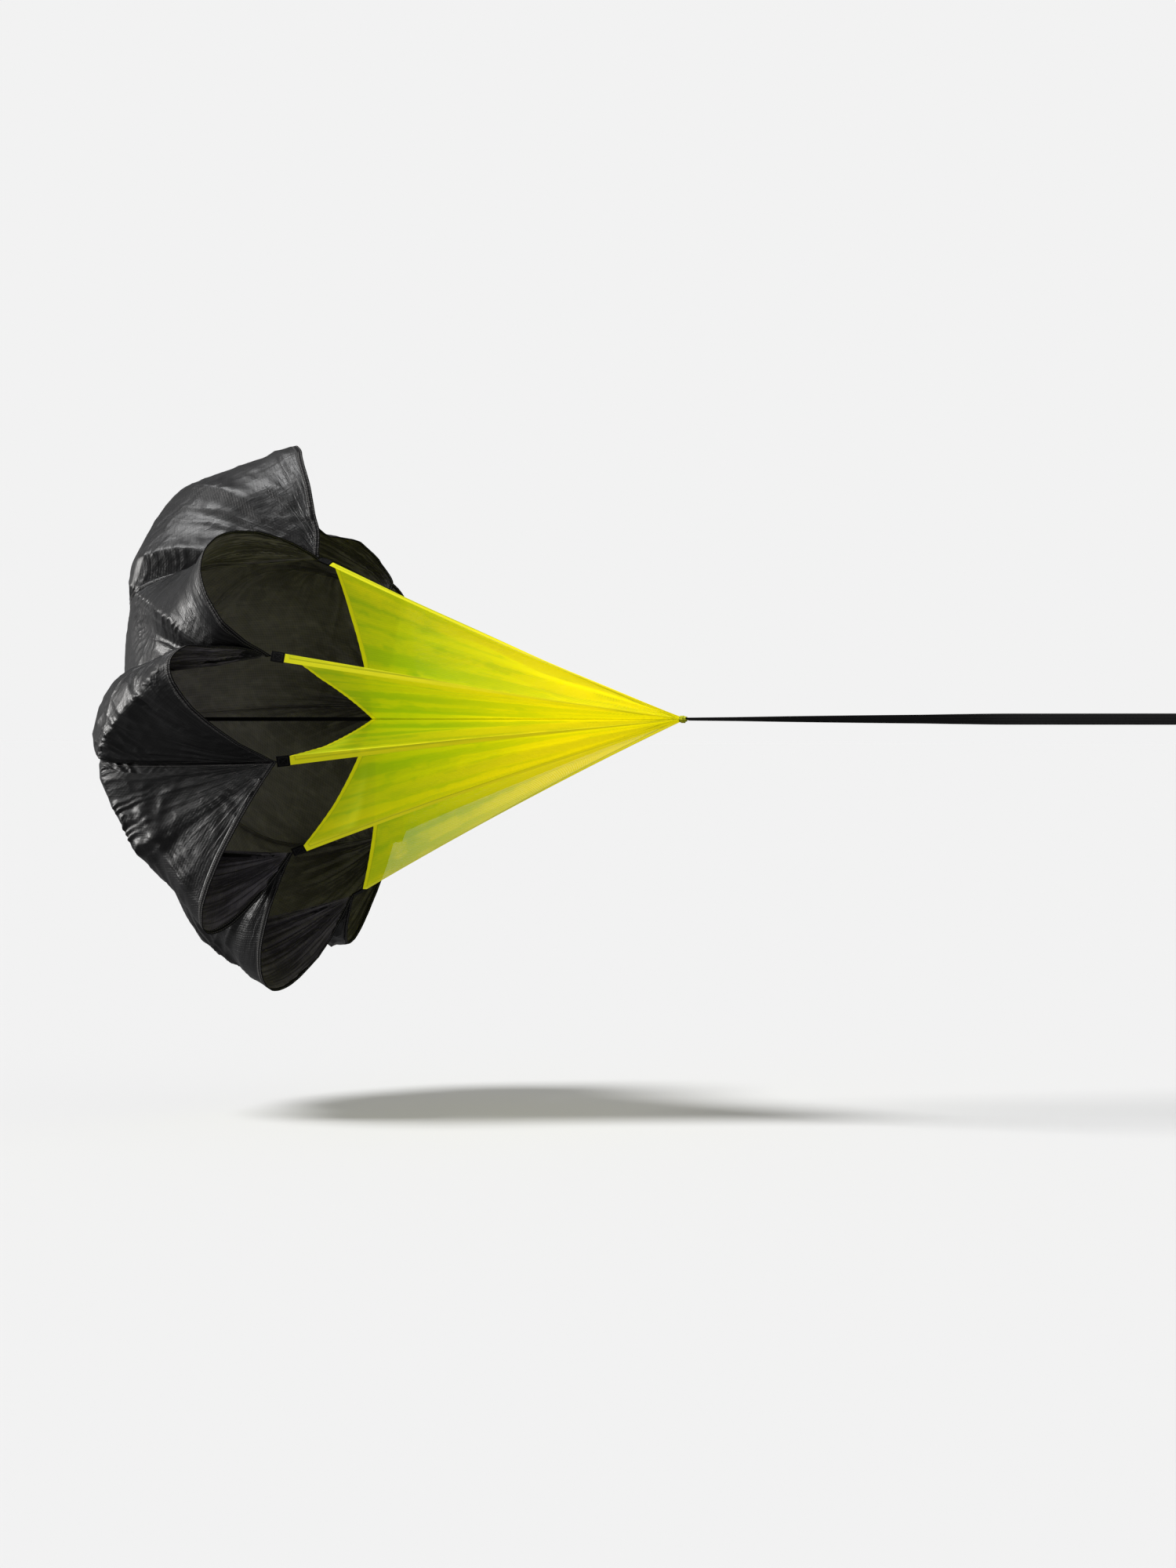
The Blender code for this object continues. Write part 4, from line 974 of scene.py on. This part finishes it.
# The eight corner tabs: webbing folded over each arm's hem
cornerTab = {"length": 0.024, "width": 0.020, "thickness": 0.0026, "webbing": 0.0012,
             "box": (0.012, 0.010, 0.0085), "step": 0.0004}


def buildCornerTabs():
    path = foldedPath(cornerTab["length"] - cornerTab["thickness"] / 2,
                      (cornerTab["thickness"] - cornerTab["webbing"]) / 2, cornerTab["step"], 2)
    for k in range(armCount):
        way, side = armDirection(k), sideways(armAngles[k])
        origin = armPoint(k) - way * (cornerTab["length"] + touchGap)
        tab = planeStrap("corner_loop_%d" % (k + 1), path, -side, np.cross(way, side), origin,
                         cornerTab["width"], cornerTab["webbing"], "sewn", bothEnds(*cornerTab["box"]))
        standFor(tab, "corner_tab_%d" % (k + 1))


# The fins' middle seam, the binding that gathers them and the loose tag under it
tip = {
    "cordRadius": 0.0022, "cordSteps": 260, "bindingRadius": 0.0068, "rows": 40, "around": 96,
    "profile": ((0.0, 0.66), (0.45, 1.0), (0.98, 0.9)),     # share of the depth, share of the radius
    "gathers": 11, "gatherDepth": 0.10, "wraps": ((0.30, 0.10, 0.10), (0.62, 0.08, 0.05)),
    "tagLength": 0.013, "tagWidth": 0.008, "tagRise": 0.0006, "tagCloth": 0.0009, "tagFold": 0.0012,
    "tagWave": 0.0004, "tagTurns": 330.0, "tagStep": 0.0004,        # turns in radians to the metre
}


def buildTip():
    low, high = [corner[0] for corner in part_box("fin_seam_cord")]
    seam = sweep("fin_seam", straightPath(low, high, tip["cordSteps"]), [0.0, 1.0, 0.0], [0.0, 0.0, 1.0],
                 roundSection(tip["cordRadius"]), "tape")
    standFor(seam, "fin_seam_cord")
    # The binding's radius follows its profile, less the gathers, which are waves round it that deepen towards
    # the fins, and less two wraps of thread, as (place, half width, depth)
    shares, radii = np.array(tip["profile"]).T
    depth, turn = np.meshgrid(np.linspace(0.0, shares[-1], tip["rows"]),
                              np.linspace(0, 2 * np.pi, tip["around"], endpoint=False), indexing="ij")
    ribs = crest(turn * tip["gathers"] + np.sin(turn * 3) * 0.8 + depth * 3, 1.0)
    wraps = sum(np.exp(-((depth - place) / width) ** 2) * deep for place, width, deep in tip["wraps"])
    radius = np.interp(depth, shares, radii) * (1 - tip["gatherDepth"] * (1 - ribs) * (0.35 + depth) - wraps)
    radius = tip["bindingRadius"] * radius
    points = together(tipX - depth * fins["tipSetback"], radius * np.cos(turn), radius * np.sin(turn))
    uvs = {"cloth": together(turn * tip["bindingRadius"], depth * fins["tipSetback"])}
    binding = gridPiece("tip_wrap", points, uvs, ["tape"], closed=True)
    closeEnds(binding, tip["around"])
    standFor(binding, "tip_binding")
    path = foldedPath(tip["tagLength"] - tip["tagFold"], tip["tagRise"], tip["tagStep"], 3)
    path[:, 1] += np.sin(path[:, 0] * tip["tagTurns"]) * tip["tagWave"]
    tag = planeStrap("tip_label", path, (-1.0, 0.0, 0.0), (0.0, 1.0, 0.0),
                     (tipX - fins["tipSetback"] / 2, 0.0, -(tip["bindingRadius"] + touchGap)),
                     tip["tagWidth"], tip["tagCloth"], "tape")
    standFor(tag, "tip_tag")


# The waist belt: a foam pad with a bound edge, and webbing held on it by four keepers
belt = {
    "radius": 0.100, "straight": 0.070, "padThickness": 0.0080, "padHeight": 0.060, "endGap": 0.052,
    "corner": 0.012, "edgeTape": 0.0052, "edgeTapeWidth": 0.0066, "tapeCover": 0.0015,
    "endSkin": 0.0012, "endRound": 0.006, "around": 56, "heightPower": 0.45, "thicknessPower": 0.7,
    "fill": 0.7, "puckerPitch": 0.010, "puckerHeight": 0.0005, "dentHeight": 0.00035, "seed": 5,
    "webbing": 0.038, "webbingThickness": 0.0020, "tailLength": 0.062, "buckleBar": 0.0048, "barRoom": 0.0006,
    "femaleBarY": 0.042, "maleBarY": -0.0214, "barLead": 0.0038, "innerRise": 0.016, "tailRise": 0.020,
    "foldBack": (0.017, 0.030), "foldBox": (0.0075, 0.0062, 0.016),
    "keeperWidth": 0.012, "keeperThickness": 0.0012, "keeperFoot": 0.0052, "keeperMargin": 0.0014,
    "keeperLeans": (0.0008, 0.0004), "keeperAngles": (35.0, 145.0), "keeperBox": (0.0026, 0.0026, 0.0055),
    "tailKeeperY": 0.064, "padStep": 0.0025, "tapeStep": 0.0022, "webbingStep": 0.0010, "keeperStep": 0.0005,
}
padOuter = belt["radius"] + belt["padThickness"]
webbingMiddle = padOuter + touchGap + belt["webbingThickness"] / 2
noseRadius = belt["buckleBar"] / 2 + belt["barRoom"] + belt["webbingThickness"] / 2
buckleX = webbingMiddle + belt["webbingThickness"] + touchGap + noseRadius


def roundWaist(radius, start, end):
    return (start + arc(radius, 0.0, belt["straight"], 0.0, np.pi, 60)
            + arc(radius, 0.0, -belt["straight"], np.pi, np.pi, 60) + end)


def buildPad():
    # Superellipse sections along the belt: height and thickness to their powers of the cosine and the sine,
    # with rounded ends and small puckers where the edge tape pulls
    middle, corner = belt["radius"] + belt["padThickness"] / 2, belt["corner"]
    path = smoothPath(roundWaist(middle, [(middle, belt["endGap"])], [(middle, -belt["endGap"])]),
                      belt["padStep"], 6)
    run, way = runLengths(path[:, None], 0)[:, 0], unit(np.gradient(path, axis=0))
    outward = together(way[:, 1], -way[:, 0])
    fromEnd = np.minimum(run, run[-1] - run)
    cut = corner - np.sqrt(np.maximum(corner ** 2 - np.clip(corner - fromEnd, 0, corner) ** 2, 0))
    turn = np.linspace(0, 2 * np.pi, belt["around"], endpoint=False)
    cosine, sine = np.cos(turn), np.sin(turn)
    z = np.sign(cosine) * np.abs(cosine) ** belt["heightPower"]
    thick = np.sign(sine) * np.abs(sine) ** belt["thicknessPower"]
    rng = np.random.default_rng(belt["seed"])
    half = (belt["padHeight"] / 2 - belt["tapeCover"] - cut)[:, None]
    ends = np.clip((fromEnd + belt["endSkin"]) / belt["endRound"], 0.0, 1.0)[:, None] ** 0.5
    pucker = np.sin(turns(run, belt["puckerPitch"]) + wander(run, 0.08, rng) * 1.5)[:, None]
    pucker = pucker * np.abs(z) ** 8 * belt["puckerHeight"]
    dents = wander(run, 0.06, rng)[:, None] * (1 - np.abs(z)) * belt["dentHeight"]
    out = thick * (belt["padThickness"] / 2 * ends - np.abs(dents)) - np.sign(thick) * np.abs(pucker * thick)
    flat = path[:, None] + outward[:, None] * out[..., None]
    points = together(flat[..., 0], flat[..., 1], half * z)
    uvs = {"cloth": together(runLengths(points, 1), run[:, None])}
    pad = gridPiece("waist_pad", points, uvs, ["pad"], closed=True)
    closeEnds(pad, belt["around"])
    standFor(pad, "belt_pad", "waist_belt")
    # The edge tape: a rounded rectangle of the belt's length and height, wrapped on the belt
    tape = belt["edgeTape"]
    bend = corner - tape / 2
    far, near, high = run[-1] - tape / 2 - bend, tape / 2 + bend, belt["padHeight"] / 2 - tape / 2 - bend
    loop = []
    for x, y, start in ((far, high, 0.5), (far, -high, 0.0), (near, -high, -0.5), (near, high, 1.0)):
        loop += arc(bend, x, y, np.pi * start, -np.pi / 2)
    loop = smoothPath(loop + [loop[0]], belt["tapeStep"], 3, closed=True)
    placeX, placeY, wayX, wayY = [np.interp(loop[:, 0], run, values) for values in (*path.T, *outward.T)]
    edge, sides = together(placeX, placeY, loop[:, 1]), unit(together(wayX, wayY, 0.0))
    binding = sweepStrap("waist_pad_binding", edge, sides, np.cross(loopWays(edge), sides),
                         belt["edgeTapeWidth"], tape, "webbing", loop=True)
    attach(binding, "waist_belt")


def buildBeltWebbing():
    doubled = webbingMiddle + belt["webbingThickness"] + touchGap
    tailX = doubled + belt["webbingThickness"] / 2
    female, male, lead = belt["femaleBarY"], belt["maleBarY"], belt["barLead"]
    start = [(doubled, female + belt["foldBack"][1]), (doubled, female + belt["foldBack"][0]),
             (buckleX + noseRadius, female + lead)] + arc(noseRadius, buckleX, female, 0.0, -np.pi)
    start += [(buckleX - noseRadius, female + lead), (webbingMiddle, female + belt["innerRise"])]
    end = [(webbingMiddle, male - belt["innerRise"]), (buckleX - noseRadius, male - lead)]
    end += arc(noseRadius, buckleX, male, np.pi, -np.pi)
    end += [(buckleX + noseRadius, male - lead), (tailX, male - belt["tailRise"]),
            (tailX, male - belt["tailLength"])]
    strap = levelStrap("waist_webbing", roundWaist(webbingMiddle, start, end), belt["webbing"],
                       belt["webbingThickness"], "sewn", [belt["foldBox"]], belt["webbingStep"], 2)
    standFor(strap, "belt_webbing", "waist_belt")


def buildKeepers():
    # Four on the pad round the waist's bends, and one that holds the tail, which covers two layers
    top, foot = (belt["webbing"] + belt["keeperMargin"]) / 2, belt["keeperThickness"] / 2
    outLean, inLean = belt["keeperLeans"]
    bends = [(side, angle) for side in (1.0, -1.0) for angle in belt["keeperAngles"]]
    places = [("pad_keeper_%d" % (number + 1), math.radians(angle) * side, belt["straight"] * side, 1.0)
              for number, (side, angle) in enumerate(bends)]
    places.append(("tail_keeper", 0.0, -belt["tailKeeperY"], 2.0))
    for node, turn, centreY, layers in places:
        rise = (belt["webbingThickness"] + belt["keeperMargin"]) * layers + foot
        out = np.array([math.cos(turn), math.sin(turn), 0.0])
        half = [(top + belt["keeperFoot"], foot), (top + outLean, foot), (top - inLean, rise)]
        path = smoothPath([(-x, y) for x, y in half] + half[::-1], belt["keeperStep"], 3)
        origin = out * (padOuter + touchGap) + np.array([0.0, centreY, 0.0])
        # forward is up times side: here the upright, so the width lies round the waist
        piece = planeStrap(node + "_loop", path, np.cross([0.0, 0.0, 1.0], out), out, origin,
                           belt["keeperWidth"], belt["keeperThickness"], "sewn", bothEnds(*belt["keeperBox"]))
        standFor(piece, node, "waist_belt")


# The ring on the back of the belt, and the webbing that holds it
ring = {
    "bar": 0.0025, "halfHeight": 0.0195, "reach": 0.0270, "corner": 0.0040, "anchorHeight": 0.022,
    "anchorWidth": 0.046, "anchorThickness": 0.0020, "anchorRoom": 0.0004, "lead": 0.001,
    "step": 0.0011, "baseStep": 0.0015, "strapStep": 0.0005,
    "baseBox": (0.0080, 0.0075, 0.0095), "strapBox": (0.0085, 0.0075, 0.0095),
}
anchorInner = webbingMiddle + belt["webbingThickness"] / 2 + touchGap
ringBarX = -(anchorInner + ring["anchorThickness"] + ring["bar"] + ring["anchorRoom"])


def buildRing():
    # A straight bar, two round corners and half an ellipse
    corner, high = ring["corner"], ring["halfHeight"]
    straight, reach, middle = high - corner, ring["reach"] - corner, ringBarX - corner
    bow = [(middle - reach * math.cos(a), high * math.sin(a)) for a in np.linspace(np.pi / 2, -np.pi / 2, 60)]
    outline = [(ringBarX, -straight)] + arc(corner, middle, straight, 0, np.pi / 2, 10)
    outline += bow[1:-1] + arc(corner, middle, -straight, -np.pi / 2, np.pi / 2, 10)
    x, z = smoothPath(outline, ring["step"], 2, closed=True).T
    path, sides = together(x, 0.0, z), np.array([0.0, 1.0, 0.0])
    piece = sweep("belt_ring", path, sides, np.cross(loopWays(path), sides), roundSection(ring["bar"]),
                  "steel", loop=True)
    standFor(piece, "d_ring", "ring")
    # The anchor: a flat piece on the belt, and a strap sewn on it that arches over the ring's bar
    half, layer = ring["anchorWidth"] / 2, ring["anchorThickness"] / 2
    under, over = -(anchorInner + layer / 2), -(anchorInner + layer * 1.5)
    base = levelStrap("ring_anchor_base", [(under, -half), (under, half)], ring["anchorHeight"], layer,
                      "sewn", bothEnds(*ring["baseBox"]), ring["baseStep"], 3)
    bend = ring["bar"] + ring["anchorRoom"] + layer
    corners = [(over, -half), (over, -(bend + ring["lead"]))] + arc(bend, ringBarX, 0.0, -np.pi / 2, -np.pi)
    place, *size = ring["strapBox"]
    strap = levelStrap("ring_anchor_strap", corners + [(over, bend + ring["lead"]), (over, half)],
                       ring["anchorHeight"], layer, "sewn",
                       [(place, *size), (2 * half + 2.5 * bend - place, *size)], ring["strapStep"], 3)
    standFor(strap, "ring_anchor", "waist_belt")
    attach(base, "waist_belt")


nodeFinishes = {
    "plastic": ["buckle_female", "buckle_male", "prong_upper", "prong_lower"],
    "steel": ["hook_body", "hook_gate", "gate_pin", "swivel_eye"],
}


def dressNodes():
    for finishName, nodes in nodeFinishes.items():
        for node in nodes:
            for slot in bpy.data.objects[node].material_slots:
                slot.material = finish(finishName)


# Floor, sky and lights: the key low from the left, a soft light above it, and little from the front
stage = {
    "floorBelow": 0.74, "floorHalf": 120.0, "pale": 0.888, "sky": 0.21,
    "lights": {
        "key": {"turn": -97.0, "height": 11.0, "power": 4.2, "soft": 17.0, "colour": (1.0, 0.985, 0.965)},
        "top": {"turn": -86.0, "height": 61.0, "power": 2.8, "soft": 18.0, "colour": (1.0, 1.0, 1.0)},
    },
}


def addStage():
    # The floor's colour makes what it reflects equal to the pale sky behind it
    falling = np.full(3, math.pi * stage["sky"])
    for name, light in stage["lights"].items():
        turn, height = math.radians(light["turn"] + cameraSetup["turn"]), math.radians(light["height"])
        falling += light["power"] * math.sin(height) * np.array(light["colour"])
        data = bpy.data.lights.new(name, "SUN")
        data.energy, data.angle, data.color = light["power"], math.radians(light["soft"]), light["colour"]
        level = math.cos(height)
        toLight = Vector((math.sin(turn) * level, -math.cos(turn) * level, math.sin(height)))
        turnTo(addObject(name, data), -toLight)
    half, z = stage["floorHalf"], -stage["floorBelow"]
    data = bpy.data.meshes.new("floor")
    corners = [(x * half, y * half, z) for x, y in ((-1, -1), (1, -1), (1, 1), (-1, 1))]
    data.from_pydata(corners, [], [(0, 1, 2, 3)])
    pale = tuple((stage["pale"] * math.pi / falling).tolist())
    paint = Paint("pale_floor", Roughness=0.9, Specular_IOR_Level=0.0, Base_Color=pale)
    data.materials.append(paint.material)
    floor = addObject("floor", data)
    floor.visible_diffuse = False
    floor.visible_glossy = False
    # The camera sees the pale sky, and the pieces are lit by a darker one
    world = bpy.data.worlds.new("studio")
    bpy.context.scene.world = world
    world.use_nodes = True
    nodes, links = world.node_tree.nodes, world.node_tree.links
    nodes.clear()
    path, blend = nodes.new("ShaderNodeLightPath"), nodes.new("ShaderNodeMixShader")
    output = nodes.new("ShaderNodeOutputWorld")
    links.new(path.outputs["Is Camera Ray"], blend.inputs[0])
    for place, brightness in ((1, stage["sky"]), (2, stage["pale"])):
        sky = nodes.new("ShaderNodeBackground")
        sky.inputs["Color"].default_value = (brightness, brightness, brightness, 1)
        links.new(sky.outputs[0], blend.inputs[place])
    links.new(blend.outputs[0], output.inputs[0])
    bpy.context.scene.view_settings.view_transform = "Standard"


addCamera()
addStage()
print("camera and stage set, floor and sky even")
buildTether()
print("straps made")
buildCanopy()
buildCrownPatches()
buildCornerTabs()
print("canopy made")
buildFins()
buildTip()
print("fins made")
buildPad()
buildBeltWebbing()
buildKeepers()
buildRing()
dressNodes()
print("belt made and nodes dressed")
